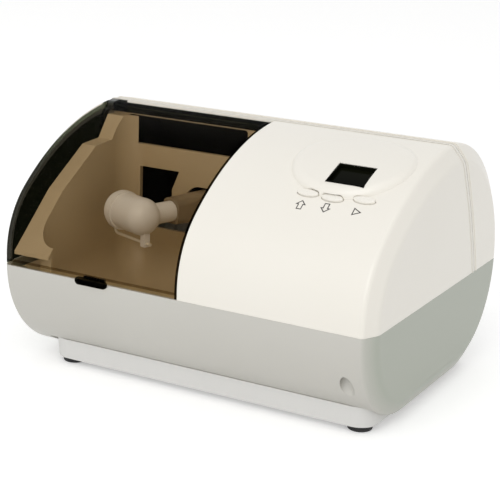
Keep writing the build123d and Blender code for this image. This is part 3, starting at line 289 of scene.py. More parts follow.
class Bench:
    """One material under construction: its node tree, shader and object coordinates."""

    def __init__(self, name: str) -> None:
        """Start a material with a Principled shader.

        Args:
            name: Name of the material.
        """
        self.material = bpy.data.materials.new(name)
        self.material.use_nodes = True
        self.tree = self.material.node_tree
        self.tree.nodes.clear()
        self.output = self.tree.nodes.new("ShaderNodeOutputMaterial")
        self.shader = self.tree.nodes.new("ShaderNodeBsdfPrincipled")
        self.link(self.shader.outputs[0], self.output.inputs["Surface"])
        self.place = self.tree.nodes.new("ShaderNodeTexCoord").outputs["Object"]

    def link(self, source: Socket, target: Socket) -> None:
        """Join two sockets."""
        self.tree.links.new(source, target)

    def set(self, **values: Any) -> None:
        """Set the shader's own sockets, with underscores for the blanks in their names."""
        for label, value in values.items():
            self.shader.inputs[label.replace("_", " ")].default_value = value

    def effect(self, kind: Effect, **values: float) -> bpy.types.Node:
        """Place a shared effect that reads object coordinates.

        Args:
            kind: Which effect.
            values: Its inputs, with underscores for blanks.

        Returns:
            The group node.
        """
        node = self.tree.nodes.new("ShaderNodeGroup")
        node.node_tree = EFFECTS.get(kind)
        self.link(self.place, node.inputs["Vector"])
        for label, value in values.items():
            node.inputs[label.replace("_", " ")].default_value = value
        return node

    def math(self, kind: str, first: Any, second: Any = 0.0) -> Socket:
        """Add a math node and return its result."""
        return add_math(self.tree, kind, first, second)

    def axes(self) -> tuple[Socket, Socket, Socket]:
        """Split the object coordinates.

        Returns:
            The X, Y and Z sockets.
        """
        split = self.tree.nodes.new("ShaderNodeSeparateXYZ")
        self.link(self.place, split.inputs[0])
        return split.outputs["X"], split.outputs["Y"], split.outputs["Z"]

    def blend(self, mask: Socket, low: Colour, high: Colour) -> Socket:
        """Mix two colours by a mask.

        Args:
            mask: Value from 0 to 1.
            low: Colour at 0.
            high: Colour at 1.

        Returns:
            The colour socket.
        """
        node = self.tree.nodes.new("ShaderNodeMix")
        node.data_type = "RGBA"
        self.link(mask, node.inputs["Factor"])
        node.inputs["A"].default_value = (*low, 1.0)
        node.inputs["B"].default_value = (*high, 1.0)
        return node.outputs["Result"]

    def cover(self, base: Socket, mask: Socket, colour: Colour) -> Socket:
        """Lay a colour over a base where a mask is 1.

        Args:
            base: Colour at 0.
            mask: Value from 0 to 1.
            colour: Colour at 1.

        Returns:
            The colour socket.
        """
        covered = self.blend(mask, colour, colour)
        self.link(base, covered.node.inputs["A"])
        return covered

    def paint(self, tone: Socket, roughness: Socket) -> None:
        """Feed a colour and a roughness into the shader."""
        self.link(tone, self.shader.inputs["Base Color"])
        self.link(roughness, self.shader.inputs["Roughness"])

    def relief(self, height: Socket, depth: float, soften: float = 0.0) -> None:
        """Feed a bump into the shader's normal.

        Args:
            height: Height from 0 to 1.
            depth: Depth of the texture in metres.
            soften: Radius of the softened edges in metres, or 0 for sharp ones.
        """
        bump = self.tree.nodes.new("ShaderNodeBump")
        bump.inputs["Strength"].default_value = 1.0
        bump.inputs["Distance"].default_value = depth
        self.link(height, bump.inputs["Height"])
        if soften > 0:
            edge = self.tree.nodes.new("ShaderNodeBevel")
            edge.samples = BEVEL_SAMPLES
            edge.inputs["Radius"].default_value = soften
            self.link(edge.outputs[0], bump.inputs["Normal"])
        self.link(bump.outputs[0], self.shader.inputs["Normal"])


@dataclass(frozen=True)
class MouldedPlastic:
    """Moulded or sprayed plastic with a fine grain."""

    name: str
    colour: Colour
    second: Colour
    roughness: float = 0.35
    spread: float = 0.05
    grain: float = 1500.0
    grain_depth: float = 0.01 * MM
    cloud: float = 14.0
    soften: float = 0.0
    metallic: float = 0.0

    def start(self) -> tuple[Bench, Socket, Socket]:
        """Lay the grain and work out the tone and sheen.

        Returns:
            The material under construction, its tone and its roughness.
        """
        bench = Bench(self.name)
        skin = bench.effect(
            Effect.MOULDED,
            Grain_Scale=self.grain,
            Cloud_Scale=self.cloud,
            Roughness=self.roughness,
            Spread=self.spread,
        )
        tone = bench.blend(skin.outputs["Tone"], self.colour, self.second)
        bench.relief(skin.outputs["Height"], self.grain_depth, self.soften)
        bench.set(Metallic=self.metallic)
        return bench, tone, skin.outputs["Roughness"]

    def build(self) -> bpy.types.Material:
        """Build the material.

        Returns:
            The finished material.
        """
        bench, tone, sheen = self.start()
        bench.paint(tone, sheen)
        return bench.material


@dataclass(frozen=True)
class HollowShell(MouldedPlastic):
    """A moulded cover with painted shade: near-black on its inside, where the drive space lies in
    the dark.
    """

    # painted shade laid on the cover's inside
    inside: Colour = (0.002, 0.002, 0.0015)
    centre_y: float = 0.0
    centre_z: float = 0.0
    radius: float = 1.0
    half_width: float = 1.0
    bevel_across: float = 5.0 * MM
    bevel_depth: float = 10.0 * MM
    skin: float = 1.4 * MM

    def depth(self, bench: Bench) -> Socket:
        """Measure how deep a point lies below the end faces, the roof and their bevel.

        Args:
            bench: Material under construction.

        Returns:
            The least of the three depths, in metres.
        """
        x, y, z = bench.axes()
        below_side = bench.math("SUBTRACT", self.half_width, bench.math("ABSOLUTE", x))
        rise = bench.math("SUBTRACT", z, self.centre_z)
        back = bench.math("SUBTRACT", y, self.centre_y)
        squares = (bench.math("MULTIPLY", leg, leg) for leg in (rise, back))
        reach = bench.math("SQRT", bench.math("ADD", *squares))
        below_roof = bench.math("SUBTRACT", self.radius, reach)
        lean = hypot(1 / self.bevel_across, 1 / self.bevel_depth)
        from_side = bench.math("MULTIPLY", below_side, 1 / self.bevel_across / lean)
        from_roof = bench.math("MULTIPLY", below_roof, 1 / self.bevel_depth / lean)
        below_bevel = bench.math("SUBTRACT", bench.math("ADD", from_side, from_roof), 1 / lean)
        return bench.math("MINIMUM", bench.math("MINIMUM", below_side, below_roof), below_bevel)

    def build(self) -> bpy.types.Material:
        """Build the material, with painted shade, dark and dull, where it lies deeper than the
        skin.

        Returns:
            The finished material.
        """
        bench, tone, sheen = self.start()
        # painted shade: deeper than the skin the cover is painted near-black
        deep = bench.math("GREATER_THAN", self.depth(bench), self.skin)
        dark = bench.cover(tone, deep, self.inside)
        bench.paint(dark, bench.math("MAXIMUM", sheen, deep))
        return bench.material


@dataclass(frozen=True)
class EaredCover(MouldedPlastic):
    """A moulded cover with painted shade on its hinge ear, as dark as the lid that it carries."""

    # painted shade laid on the hinge ear
    ear: Colour = (0.008, 0.011, 0.005)
    ear_x: float = 0.0
    ear_y: float = 0.0

    def build(self) -> bpy.types.Material:
        """Build the material, with painted shade at the ear.

        Returns:
            The finished material.
        """
        bench, tone, sheen = self.start()
        x, y, _ = bench.axes()
        left = bench.math("LESS_THAN", x, self.ear_x)
        front = bench.math("LESS_THAN", y, self.ear_y)
        # painted shade: the ear corner is painted as dark as the lid
        dark = bench.cover(tone, bench.math("MULTIPLY", left, front), self.ear)
        bench.paint(dark, sheen)
        return bench.material


@dataclass(frozen=True)
class ShadedSides(MouldedPlastic):
    """A painted moulding with painted shade on its two end faces, which are a darker, greener grey.
    """

    # painted shade of the two end faces
    side: Colour = (0.4, 0.4, 0.4)
    side_x: float = 0.0
    fade: float = 5.5 * MM

    def build(self) -> bpy.types.Material:
        """Build the material, with painted shade beyond the two end bevels.

        Returns:
            The finished material.
        """
        bench, tone, sheen = self.start()
        x, _, _ = bench.axes()
        past = bench.math("SUBTRACT", bench.math("ABSOLUTE", x), self.side_x)
        side_shade_share = bench.math("MAXIMUM", bench.math("MULTIPLY", past, 1 / self.fade), 0.0)
        # painted shade: past the end bevels the colour fades to the darker side grey
        shaded = bench.cover(tone, bench.math("MINIMUM", side_shade_share, 1.0), self.side)
        bench.paint(shaded, sheen)
        return bench.material


@dataclass(frozen=True)
class WorkedMetal:
    """Drawn, ground, turned or plated metal with fine lines."""

    name: str
    colour: Colour
    second: Colour
    roughness: float = 0.3
    spread: float = 0.15
    grain: Axis = Axis.X
    lines: float = 900.0
    line_stretch: float = 0.04
    depth: float = 0.004 * MM

    def build(self) -> bpy.types.Material:
        """Build the material.

        Returns:
            The finished material.
        """
        bench = Bench(self.name)
        stretch = [1.0, 1.0, 1.0]
        stretch[self.grain.value] = self.line_stretch
        metal = bench.effect(
            Effect.BRUSHED,
            Line_Scale=self.lines,
            Stretch_X=stretch[0],
            Stretch_Y=stretch[1],
            Stretch_Z=stretch[2],
            Roughness=self.roughness,
            Spread=self.spread,
        )
        tone = bench.blend(metal.outputs["Tone"], self.colour, self.second)
        bench.paint(tone, metal.outputs["Roughness"])
        bench.relief(metal.outputs["Height"], self.depth)
        bench.set(Metallic=1.0)
        return bench.material


@dataclass(frozen=True)
class BandedStack:
    """Laminations or windings: even bands in two colours."""

    name: str
    colour: Colour
    second: Colour
    bands_per_mm: float
    weights: Point
    metallic: float = 0.0
    roughness: float = 0.4
    depth: float = 0.05 * MM

    def build(self) -> bpy.types.Material:
        """Build the material.

        Returns:
            The finished material.
        """
        bench = Bench(self.name)
        scale = 2 * pi * self.bands_per_mm / MM
        stack = bench.effect(
            Effect.BANDS,
            Band_Scale=scale,
            Stretch_X=self.weights[0],
            Stretch_Y=self.weights[1],
            Stretch_Z=self.weights[2],
        )
        tone = bench.blend(stack.outputs["Mask"], self.colour, self.second)
        bench.link(tone, bench.shader.inputs["Base Color"])
        bench.relief(stack.outputs["Height"], self.depth)
        bench.set(Metallic=self.metallic, Roughness=self.roughness)
        return bench.material


@dataclass(frozen=True)
class PolishedWindow:
    """Black glossy plastic that is slightly lighter towards one edge."""

    name: str
    colour: Colour
    second: Colour
    fade_low: float
    fade_high: float
    roughness: float = 0.12
    spread: float = 0.12
    depth: float = 0.002 * MM
    specular: float = 0.012

    def build(self) -> bpy.types.Material:
        """Build the material.

        Returns:
            The finished material.
        """
        bench = Bench(self.name)
        marks = bench.effect(Effect.HANDLED, Roughness=self.roughness, Spread=self.spread)
        _, y, _ = bench.axes()
        ramp = bench.tree.nodes.new("ShaderNodeMapRange")
        ramp.inputs["From Min"].default_value = self.fade_low
        ramp.inputs["From Max"].default_value = self.fade_high
        bench.link(y, ramp.inputs["Value"])
        tone = bench.blend(ramp.outputs["Result"], self.colour, self.second)
        bench.paint(tone, marks.outputs["Roughness"])
        bench.relief(marks.outputs["Height"], self.depth)
        bench.set(Specular_IOR_Level=self.specular)
        return bench.material


@dataclass(frozen=True)
class SmokedAcrylic:
    """Clear smoked plastic that lets the lamps reach what is behind it.

    It has painted shade, nearly opaque, at its left end and along its hinge. It is black on its
    finger tab and along its right edge, as the cut edge of a tinted sheet is, and it has a painted
    dark reflection along its left outline. Its bottom edge has a painted pale highlight under a
    painted shade line. It bends light less than real acrylic, so that the pale room doesn't veil
    what is behind it.
    """

    name: str
    tint: Colour
    # painted shade at the left end and along the hinge
    dark: Colour
    # black of the cut edges and the tab, and painted dark reflection on the left outline
    edge: Colour
    end_x: float
    rim_x: float
    hinge_y: float
    edge_x: float
    tab_y: float
    pale_highlight_z: float
    # painted pale highlight along the bottom edge, under a painted shade line
    pale_highlight: Colour = (0.80, 0.76, 0.66)
    shade_line: Colour = (0.22, 0.17, 0.10)
    pale_highlight_height: float = 2.0 * MM
    shade_line_height: float = 0.9 * MM
    rim_roughness: float = 0.9
    roughness: float = 0.02
    spread: float = 0.04
    bend: float = 1.025
    specular: float = 0.05

    def tone(self, bench: Bench) -> tuple[Socket, Socket]:
        """Colour the pane and its edges, with painted shade, a painted highlight and a painted
        reflection.

        Args:
            bench: Material under construction.

        Returns:
            The colour, and the mask of the left outline's painted dark reflection.
        """
        x, y, z = bench.axes()
        end = bench.math("LESS_THAN", x, self.end_x)
        # mask of the painted dark reflection on the left outline
        outline = bench.math("LESS_THAN", x, self.rim_x)
        cut_edge = bench.math("GREATER_THAN", x, self.edge_x)
        hinge = bench.math("GREATER_THAN", y, self.hinge_y)
        tab = bench.math("LESS_THAN", y, self.tab_y)
        # painted pale highlight and painted shade line along the bottom edge
        pale_highlight_top = self.pale_highlight_z + self.pale_highlight_height
        pale_highlight = bench.math("LESS_THAN", z, pale_highlight_top)
        shade_line = bench.math("LESS_THAN", z, pale_highlight_top + self.shade_line_height)
        pane = bench.blend(shade_line, self.tint, self.shade_line)
        pane = bench.cover(pane, pale_highlight, self.pale_highlight)
        # painted shade at the left end and along the hinge
        pane = bench.cover(pane, bench.math("MAXIMUM", end, hinge), self.dark)
        # black cut edges and tab, and painted dark reflection on the left outline
        cut = bench.math("MAXIMUM", bench.math("MAXIMUM", cut_edge, tab), outline)
        return bench.cover(pane, cut, self.edge), outline

    def build(self) -> bpy.types.Material:
        """Build the material, which lets shadow and diffuse rays straight through.

        Returns:
            The finished material.
        """
        bench = Bench(self.name)
        marks = bench.effect(Effect.HANDLED, Roughness=self.roughness, Spread=self.spread)
        tone, outline = self.tone(bench)
        dull = bench.math("MULTIPLY", outline, self.rim_roughness)
        bench.paint(tone, bench.math("MAXIMUM", marks.outputs["Roughness"], dull))
        bench.set(Transmission_Weight=1.0, IOR=self.bend, Specular_IOR_Level=self.specular)
        through = bench.tree.nodes.new("ShaderNodeBsdfTransparent")
        through.inputs["Color"].default_value = (*(sqrt(channel) for channel in self.tint), 1.0)
        path = bench.tree.nodes.new("ShaderNodeLightPath")
        lit = bench.math("MAXIMUM", path.outputs["Is Shadow Ray"], path.outputs["Is Diffuse Ray"])
        mix = bench.tree.nodes.new("ShaderNodeMixShader")
        bench.link(lit, mix.inputs[0])
        bench.link(bench.shader.outputs[0], mix.inputs[1])
        bench.link(through.outputs[0], mix.inputs[2])
        bench.link(mix.outputs[0], bench.output.inputs["Surface"])
        return bench.material


# ---------------------------------------------------------------- finishes of this mixer
WARM_WHITE = EaredCover(
    "warm_white_cover",
    shade(245, 241, 232),
    shade(240, 236, 226),
    roughness=0.30,
    spread=0.06,
    grain=1900.0,
    grain_depth=0.006 * MM,
    cloud=9.0,
    soften=0.5 * MM,
    # corner of the painted shade on the hinge ear
    ear_x=-100.0 * MM,
    ear_y=12.2 * MM,
)
REAR_WHITE = HollowShell(
    "warm_white_rear_cover",
    shade(245, 241, 232),
    shade(240, 236, 226),
    roughness=0.30,
    spread=0.06,
    grain=1900.0,
    grain_depth=0.006 * MM,
    cloud=9.0,
    centre_y=14.24 * MM,
    centre_z=64.0 * MM,
    radius=81.56 * MM,
    half_width=117.5 * MM,
)
SILVER_GREY = ShadedSides(
    "silver_grey_housing",
    shade(203, 201, 194),
    shade(196, 194, 187),
    roughness=0.42,
    spread=0.08,
    grain=2600.0,
    grain_depth=0.008 * MM,
    cloud=12.0,
    soften=0.5 * MM,
    metallic=0.3,
    # painted shade of the housing's end faces
    side=shade(173, 177, 166),
    side_x=111.2 * MM,
)
PALE_GREY = MouldedPlastic(
    "pale_grey_plinth",
    shade(228, 227, 224),
    shade(222, 221, 218),
    roughness=0.42,
    spread=0.08,
)
IVORY = MouldedPlastic(
    "ivory_liner",
    shade(204, 186, 152),
    shade(196, 178, 144),
    roughness=0.38,
    spread=0.08,
    grain=1200.0,
)
HOLDER_IVORY = MouldedPlastic(
    "holder_ivory",
    shade(246, 243, 238),
    shade(240, 237, 231),
    roughness=0.28,
    spread=0.06,
    grain=1500.0,
)
ARM_BEIGE = MouldedPlastic(
    "beige_arm",
    shade(148, 132, 106),
    shade(140, 124, 98),
    roughness=0.34,
    spread=0.08,
    grain=1200.0,
)
WIRE_CREAM = MouldedPlastic(
    "coated_wire",
    shade(240, 232, 214),
    shade(228, 219, 200),
    roughness=0.24,
    spread=0.06,
    grain=1500.0,
)
KEY_WHITE = MouldedPlastic(
    "key_white",
    shade(244, 240, 231),
    shade(240, 236, 226),
    roughness=0.28,
    spread=0.05,
    grain=1800.0,
)
BLACK_PLASTIC = MouldedPlastic(
    "black_plastic",
    shade(34, 34, 35),
    shade(28, 28, 29),
    roughness=0.38,
    spread=0.1,
    grain=1400.0,
)
RUBBER = MouldedPlastic(
    "black_rubber",
    shade(30, 30, 31),
    shade(21, 21, 22),
    roughness=0.62,
    spread=0.15,
    grain=700.0,
    grain_depth=0.03 * MM,
)
BOARD_GREEN = MouldedPlastic(
    "board_green",
    shade(24, 92, 52),
    shade(14, 66, 38),
    roughness=0.30,
    spread=0.1,
    grain=500.0,
    grain_depth=0.02 * MM,
    cloud=160.0,
)
MARK_INK = MouldedPlastic(
    "mark_ink",
    shade(58, 56, 52),
    shade(48, 46, 43),
    roughness=0.45,
    spread=0.1,
    grain=900.0,
)
ZINC = WorkedMetal(
    "zinc_plate",
    shade(188, 187, 180),
    shade(160, 160, 156),
    roughness=0.34,
    spread=0.2,
    grain=Axis.X,
    lines=500.0,
)
SPRING_WIRE = WorkedMetal(
    "spring_wire",
    shade(206, 202, 190),
    shade(180, 176, 164),
    roughness=0.18,
    spread=0.1,
    grain=Axis.X,
    lines=900.0,
)
GROUND_STEEL = WorkedMetal(
    "ground_steel",
    shade(178, 178, 180),
    shade(150, 150, 153),
    roughness=0.26,
    spread=0.15,
    grain=Axis.Z,
    lines=900.0,
)
DRAWN_STEEL = WorkedMetal(
    "drawn_steel",
    shade(150, 152, 155),
    shade(128, 130, 134),
    roughness=0.36,
    spread=0.2,
    grain=Axis.X,
    lines=700.0,
)
TURNED_BRASS = WorkedMetal(
    "turned_brass",
    shade(205, 172, 100),
    shade(180, 146, 80),
    roughness=0.28,
    spread=0.15,
    grain=Axis.Z,
    lines=900.0,
)
CORE_IRON = BandedStack(
    "core_laminations",
    shade(60, 60, 62),
    shade(88, 88, 90),
    bands_per_mm=1.6,
    weights=(0.0, 1.0, 0.0),
    metallic=0.6,
)
COPPER_COIL = BandedStack(
    "copper_windings",
    shade(176, 98, 48),
    shade(120, 58, 26),
    bands_per_mm=1.4,
    weights=(0.0, 0.0, 1.0),
    metallic=0.7,
    roughness=0.3,
)


class Finish(Protocol):
    """Anything that can build a material."""

    name: str

    def build(self) -> bpy.types.Material:
        """Return the finished material."""


class Paintbox:
    """Builds each finish once, at its first use."""

    def __init__(self) -> None:
        """Start with no materials mixed."""
        self.mixed: dict[str, bpy.types.Material] = {}

    def get(self, finish: Finish) -> bpy.types.Material:
        """Return the material of a finish.

        Args:
            finish: The finish that is wanted.

        Returns:
            Its material.
        """
        if finish.name not in self.mixed:
            self.mixed[finish.name] = finish.build()
        return self.mixed[finish.name]


PAINTBOX = Paintbox()


# ---------------------------------------------------------------- modelling helpers
def deselect() -> None:
    """Leave object mode with nothing selected."""
    if bpy.context.object and bpy.context.object.mode != "OBJECT":
        bpy.ops.object.mode_set(mode="OBJECT")
    bpy.ops.object.select_all(action="DESELECT")


def dress(piece: bpy.types.Object, material: bpy.types.Material) -> None:
    """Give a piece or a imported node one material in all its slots.

    Args:
        piece: The piece or node.
        material: Its material.
    """
    if not piece.data.materials:
        piece.data.materials.append(material)
    for slot in piece.material_slots:
        slot.material = material


def settle(piece: bpy.types.Object) -> None:
    """Put a piece's place into its mesh, with its object at the origin.

    Args:
        piece: The piece.
    """
    deselect()
    piece.select_set(True)
    bpy.context.view_layer.objects.active = piece
    bpy.ops.object.transform_apply(location=True, rotation=True, scale=True)


def apply_modifier(piece: bpy.types.Object, modifier: bpy.types.Modifier) -> None:
    """Apply one modifier to a piece."""
    bpy.context.view_layer.objects.active = piece
    bpy.ops.object.modifier_apply(modifier=modifier.name)


class SubAssembly:
    """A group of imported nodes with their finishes, and the pieces added to them."""

    def finishes(self) -> dict[Finish, tuple[str, ...]]:
        """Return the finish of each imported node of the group."""
        return {}

    def extras(self) -> list[bpy.types.Object]:
        """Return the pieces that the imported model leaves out, once built."""
        return []

    def build(self) -> None:
        """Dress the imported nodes, build the added pieces and report both."""
        for finish, nodes in self.finishes().items():
            for node in nodes:
                dress(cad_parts[node], PAINTBOX.get(finish))
                log.info("%s dressed in %s", node, finish.name)
        for piece in self.extras():
            log.info("%s built with %d faces", piece.name, len(piece.data.polygons))


# ---------------------------------------------------------------- case
@dataclass
class Case(SubAssembly):
    """Two covers, housing, plinth, feet and the screws that hold them."""

    front: MouldedPlastic = WARM_WHITE
    rear: HollowShell = REAR_WHITE
    housing: MouldedPlastic = SILVER_GREY
    plinth: MouldedPlastic = PALE_GREY

    def finishes(self) -> dict[Finish, tuple[str, ...]]:
        """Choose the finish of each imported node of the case.

        Returns:
            Node names by finish.
        """
        return {
            self.front: ("front_cover",),
            self.rear: ("rear_cover",),
            self.housing: ("lower_housing",),
            self.plinth: ("base_plinth",),
            RUBBER: ("foot_pads",),
            ZINC: ("foot_screws", "case_screws"),
        }


@dataclass
class ChamberLid(SubAssembly):
    """Smoked lid over the mixing chamber, with its hinge pins, latch and closed-lid sensor."""

    tint: Colour = (0.70, 0.645, 0.57)
    # painted shade at the lid's left end and along its hinge
    dark: Colour = (0.008, 0.011, 0.005)
    # black of the cut edges and tab, and painted dark reflection on the left outline
    edge: Colour = (0.004, 0.004, 0.003)
    wall: float = 2.2 * MM
    end_margin: float = 1.5 * MM
    hinge_reach: float = 6.5 * MM
    edge_margin: float = 1.2 * MM
    tab_proud: float = 1.5 * MM
    # width of the painted dark reflection on the left outline
    rim_width: float = 2.0 * MM
    # base of the painted pale highlight
    bottom_z: float = 64.4 * MM

    def finishes(self) -> dict[Finish, tuple[str, ...]]:
        """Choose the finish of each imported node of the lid.

        Returns:
            Node names by finish.
        """
        low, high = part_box("lid")
        acrylic = SmokedAcrylic(
            "smoked_acrylic",
            tint=self.tint,
            dark=self.dark,
            edge=self.edge,
            end_x=low[0] + self.wall + self.end_margin,
            rim_x=low[0] + self.rim_width,
            hinge_y=high[1] - self.hinge_reach,
            edge_x=high[0] - self.edge_margin,
            tab_y=low[1] + self.tab_proud,
            pale_highlight_z=self.bottom_z,
        )
        return {
            acrylic: ("lid",),
            ZINC: ("lid_hinge_pins", "latch_plate"),
            GROUND_STEEL: ("lid_magnet",),
            BLACK_PLASTIC: ("reed_switch",),
        }


@dataclass
class MixingDrive(SubAssembly):
    """Chamber liner, capsule holder, swinging arm and the motor that drives it."""

    liner: MouldedPlastic = IVORY
    holder: MouldedPlastic = HOLDER_IVORY
    arm: MouldedPlastic = ARM_BEIGE
    wire: MouldedPlastic = WIRE_CREAM

    def finishes(self) -> dict[Finish, tuple[str, ...]]:
        """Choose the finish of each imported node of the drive.

        Returns:
            Node names by finish.
        """
        return {
            self.liner: ("chamber_liner",),
            self.arm: ("mixing_arm",),
            self.holder: ("capsule_cup", "capsule_cap", "arm_collar"),
            self.wire: ("clamp_wire",),
            SPRING_WIRE: ("centering_leaf",),
            GROUND_STEEL: ("arm_hub", "oblique_journal", "motor_shaft", "flywheel"),
            DRAWN_STEEL: ("motor_can", "motor_end_caps"),
            TURNED_BRASS: ("hub_bearing", "pedestal_bearing"),
            RUBBER: ("motor_mounts",),
            ZINC: ("liner_screws", "bracket_screws", "motor_bracket"),
        }


@dataclass(frozen=True)
class RoofArc:
    """The long arc of the roof, seen from the side."""

    radius: float = 150.0 * MM
    centre_y: float = 23.375 * MM
    centre_z: float = -3.828 * MM

    def height(self, y: float) -> float:
        """Return the roof's height at a depth."""
        return self.centre_z + sqrt(self.radius**2 - (y - self.centre_y) ** 2)

    def slope(self, y: float) -> float:
        """Return the roof's slope angle at a depth, in radians."""
        return asin((self.centre_y - y) / self.radius)

    def stand(self, x: float, y: float, lift: float) -> Matrix:
        """Work out the frame that stands square on the roof.

        Args:
            x: Place across the case.
            y: Depth.
            lift: Distance above the roof.

        Returns:
            A matrix whose Z axis is the roof's normal.
        """
        turn = Matrix.Rotation(self.slope(y), 4, "X")
        return Matrix.Translation((x, y, self.height(y))) @ turn @ Matrix.Translation((0, 0, lift))


@dataclass
class ControlPod(SubAssembly):
    """Display, keys and their printed symbols: arrow up, arrow down and a start triangle."""

    roof: RoofArc = field(default_factory=RoofArc)
    window: Colour = shade(4, 5, 2)
    window_back: Colour = shade(18, 19, 11)
    ink: MouldedPlastic = MARK_INK
    front_y: float = -94.2 * MM
    lift: float = 0.02 * MM
    thickness: float = 0.05 * MM
    stroke: float = 0.55 * MM
    arrow_width: float = 6.2 * MM
    arrow_length: float = 6.6 * MM
    triangle_size: float = 5.4 * MM
    triangle_length: float = 0.9
    cuts: int = 4
    places: dict[str, tuple[float, float]] = field(
        default_factory=lambda: {
            "mark_up": (58.5 * MM, 32.0 * MM),
            "mark_down": (73.0 * MM, 32.4 * MM),
            "mark_start": (90.7 * MM, 33.0 * MM),
        }
    )

    def finishes(self) -> dict[Finish, tuple[str, ...]]:
        """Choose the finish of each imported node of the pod.

        Returns:
            Node names by finish.
        """
        low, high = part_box("display_lens")
        window = PolishedWindow(
            "display_window",
            self.window,
            self.window_back,
            fade_low=low[1],
            fade_high=high[1],
        )
        return {
            window: ("display_lens",),
            KEY_WHITE: ("button_up", "button_down", "button_start"),
            BLACK_PLASTIC: ("display_module", "tact_switches"),
            BOARD_GREEN: ("control_board",),
            ZINC: ("board_screws",),
        }

    def arrow(self, way: int) -> Outline:
        """Draw a block arrow that points up or down the slope.

        Args:
            way: 1 for up, -1 for down.

        Returns:
            The corners in order.
        """
        half, long, stem = self.arrow_width / 2, self.arrow_length / 2, self.arrow_width / 4
        right = [(half, 0), (stem, 0), (stem, -long)]
        left = [(-x, y) for x, y in reversed(right)]
        return [(x, y * way) for x, y in [(0, long), *right, *left]]

    def triangle(self) -> Outline:
        """Draw a triangle that points to the right.

        Returns:
            The corners in order.
        """
        half = self.triangle_size / 2
        back = half - self.triangle_size * self.triangle_length
        return [(half, 0), (back, half), (back, -half)]

    def outline_piece(self, name: str, corners: Outline) -> bpy.types.Object:
        """Make a thin printed outline that follows the roof.

        Args:
            name: Name of the piece and of its place.
            corners: Outline in the plane of the roof.

        Returns:
            The finished piece.
        """
        across, back = self.places[name]
        y = self.front_y + back
        deselect()
        bpy.ops.mesh.primitive_circle_add(vertices=len(corners), radius=1.0, fill_type="NGON")
        piece = bpy.context.object
        piece.name = name
        for vertex, corner in zip(piece.data.vertices, corners):
            vertex.co = (corner[0], corner[1], 0)
        bpy.ops.object.mode_set(mode="EDIT")
        bpy.ops.mesh.select_all(action="SELECT")
        bpy.ops.mesh.inset(thickness=self.stroke)
        bpy.ops.mesh.delete(type="FACE")
        bpy.ops.mesh.select_all(action="SELECT")
        bpy.ops.mesh.subdivide(number_cuts=self.cuts)
        bpy.ops.mesh.normals_make_consistent(inside=False)
        bpy.ops.object.mode_set(mode="OBJECT")
        bend = self.roof.radius
        for vertex in piece.data.vertices:
            vertex.co.z = sqrt(bend**2 - vertex.co.y**2) - bend
        solid = piece.modifiers.new("thickness", "SOLIDIFY")
        solid.thickness = self.thickness
        solid.offset = 1.0
        apply_modifier(piece, solid)
        piece.matrix_world = self.roof.stand(across, y, self.lift)
        settle(piece)
        return piece

    def extras(self) -> list[bpy.types.Object]:
        """Build the three printed symbols.

        Returns:
            The finished pieces.
        """
        pieces = [
            self.outline_piece("mark_up", self.arrow(1)),
            self.outline_piece("mark_down", self.arrow(-1)),
            self.outline_piece("mark_start", self.triangle()),
        ]
        for piece in pieces:
            dress(piece, PAINTBOX.get(self.ink))
            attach(piece, "case")
        return pieces


@dataclass
class MainsPanel(SubAssembly):
    """Mains inlet, rocker switch and transformer."""

    moulding: MouldedPlastic = BLACK_PLASTIC

    def finishes(self) -> dict[Finish, tuple[str, ...]]:
        """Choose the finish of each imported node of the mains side.

        Returns:
            Node names by finish.
        """
        return {
            self.moulding: ("power_inlet", "power_switch_body", "power_rocker"),
            CORE_IRON: ("transformer_core",),
            COPPER_COIL: ("transformer_coil",),
            ZINC: ("transformer_screws",),
        }


# ---------------------------------------------------------------- studio
@dataclass(frozen=True)
class SoftLamp:
    """One large area lamp."""

    name: str
    place: Point
    power: float
    aim: Point = (0.0, 0.0, 0.07)
    size: float = 1.6

    def hang(self) -> None:
        """Hang the lamp at its place, turned to its aim."""
        data = bpy.data.lights.new(self.name, "AREA")
        data.size = self.size
        data.energy = self.power
        lamp = bpy.data.objects.new(self.name, data)
        bpy.context.scene.collection.objects.link(lamp)
        way = Vector(self.aim) - Vector(self.place)
        turned = way.to_track_quat("-Z", "Y").to_matrix().to_4x4()
        lamp.matrix_world = Matrix.Translation(self.place) @ turned


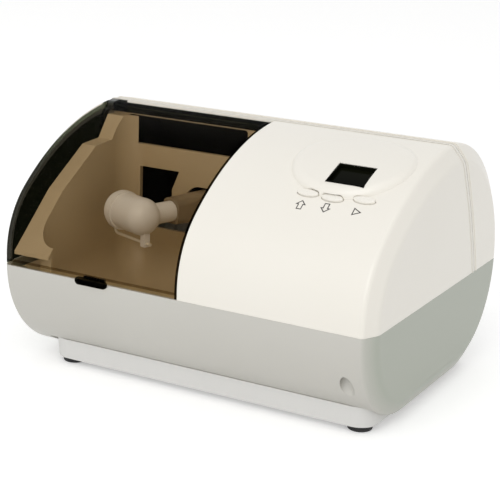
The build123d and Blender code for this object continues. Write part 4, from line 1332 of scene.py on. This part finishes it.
@dataclass
class Studio:
    """Camera, floor, lamps and world."""

    camera_place: Point = (393.48 * MM, -735.49 * MM, 312.82 * MM)
    turn: float = 28.425
    tilt: float = 16.281
    roll: float = 2.0015
    focal_px: float = 1465.2
    image_px: float = 500.0
    sensor: float = 36.0
    view_end: float = 50.0
    floor_size: float = 12.0
    floor_colour: Colour = (0.92, 0.92, 0.915)
    floor_roughness: float = 0.9
    floor_specular: float = 0.1
    floor_lift: float = 0.32
    world_light: float = 0.66
    lamps: tuple[SoftLamp, ...] = (
        SoftLamp("key_lamp", place=(0.35, -1.9, 1.5), power=17.0),
        SoftLamp("top_lamp", place=(0.3, -0.5, 2.2), power=3.0),
    )

    def camera(self) -> None:
        """Place the camera, turned from the front, tilted down and slightly rolled."""
        psi, theta = radians(self.turn), radians(self.tilt)
        forward = Vector((-sin(psi) * cos(theta), cos(psi) * cos(theta), -sin(theta)))
        level = Vector((cos(psi), sin(psi), 0))
        up_level = level.cross(forward)
        roll = radians(self.roll)
        right = level * cos(roll) + up_level * sin(roll)
        up = up_level * cos(roll) - level * sin(roll)
        data = bpy.data.cameras.new("camera")
        data.sensor_width = self.sensor
        data.lens = self.focal_px / self.image_px * self.sensor
        data.clip_end = self.view_end
        camera = bpy.data.objects.new("camera", data)
        bpy.context.scene.collection.objects.link(camera)
        turned = Matrix((right, up, -forward)).transposed().to_4x4()
        camera.matrix_world = Matrix.Translation(self.camera_place) @ turned
        bpy.context.scene.camera = camera

    def seen_mask(self, tree: bpy.types.NodeTree) -> Socket:
        """Mask the rays that see the pale background: camera, glossy and transmission.

        Args:
            tree: Tree to add to.

        Returns:
            The mask.
        """
        path = tree.nodes.new("ShaderNodeLightPath").outputs
        either = add_math(tree, "MAXIMUM", path["Is Camera Ray"], path["Is Glossy Ray"])
        return add_math(tree, "MAXIMUM", either, path["Is Transmission Ray"])

    def floor(self) -> None:
        """Lay a plain pale floor, lifted a little towards white where it is seen."""
        deselect()
        bpy.ops.mesh.primitive_plane_add(size=self.floor_size)
        floor = bpy.context.object
        floor.name = "floor"
        bench = Bench("pale_floor")
        bench.set(Base_Color=(*self.floor_colour, 1.0), Roughness=self.floor_roughness)
        bench.set(Specular_IOR_Level=self.floor_specular)
        lift = bench.tree.nodes.new("ShaderNodeEmission")
        amount = bench.math("MULTIPLY", self.seen_mask(bench.tree), self.floor_lift)
        bench.link(amount, lift.inputs["Strength"])
        both = bench.tree.nodes.new("ShaderNodeAddShader")
        bench.link(bench.shader.outputs[0], both.inputs[0])
        bench.link(lift.outputs[0], both.inputs[1])
        bench.link(both.outputs[0], bench.output.inputs["Surface"])
        dress(floor, bench.material)

    def world(self) -> None:
        """Set an even light, with a plain white background where it is seen."""
        world = bpy.data.worlds.new("studio")
        world.use_nodes = True
        tree = world.node_tree
        tree.nodes.clear()
        output = tree.nodes.new("ShaderNodeOutputWorld")
        even = tree.nodes.new("ShaderNodeBackground")
        even.inputs["Strength"].default_value = self.world_light
        seen = tree.nodes.new("ShaderNodeBackground")
        mix = tree.nodes.new("ShaderNodeMixShader")
        for background in (even, seen):
            background.inputs["Color"].default_value = WHITE
        tree.links.new(self.seen_mask(tree), mix.inputs[0])
        tree.links.new(even.outputs[0], mix.inputs[1])
        tree.links.new(seen.outputs[0], mix.inputs[2])
        tree.links.new(mix.outputs[0], output.inputs[0])
        bpy.context.scene.world = world

    def build(self) -> None:
        """Set the whole studio up."""
        self.floor()
        self.camera()
        for lamp in self.lamps:
            lamp.hang()
        self.world()
        bpy.context.scene.view_settings.view_transform = "Standard"


def main() -> None:
    """Build each sub-assembly in order, then the studio."""
    logging.basicConfig(level=logging.INFO, format="%(name)s: %(message)s")
    for group in (Case(), ChamberLid(), MixingDrive(), ControlPod(), MainsPanel()):
        group.build()
    Studio().build()


if __name__ == "__main__":
    main()
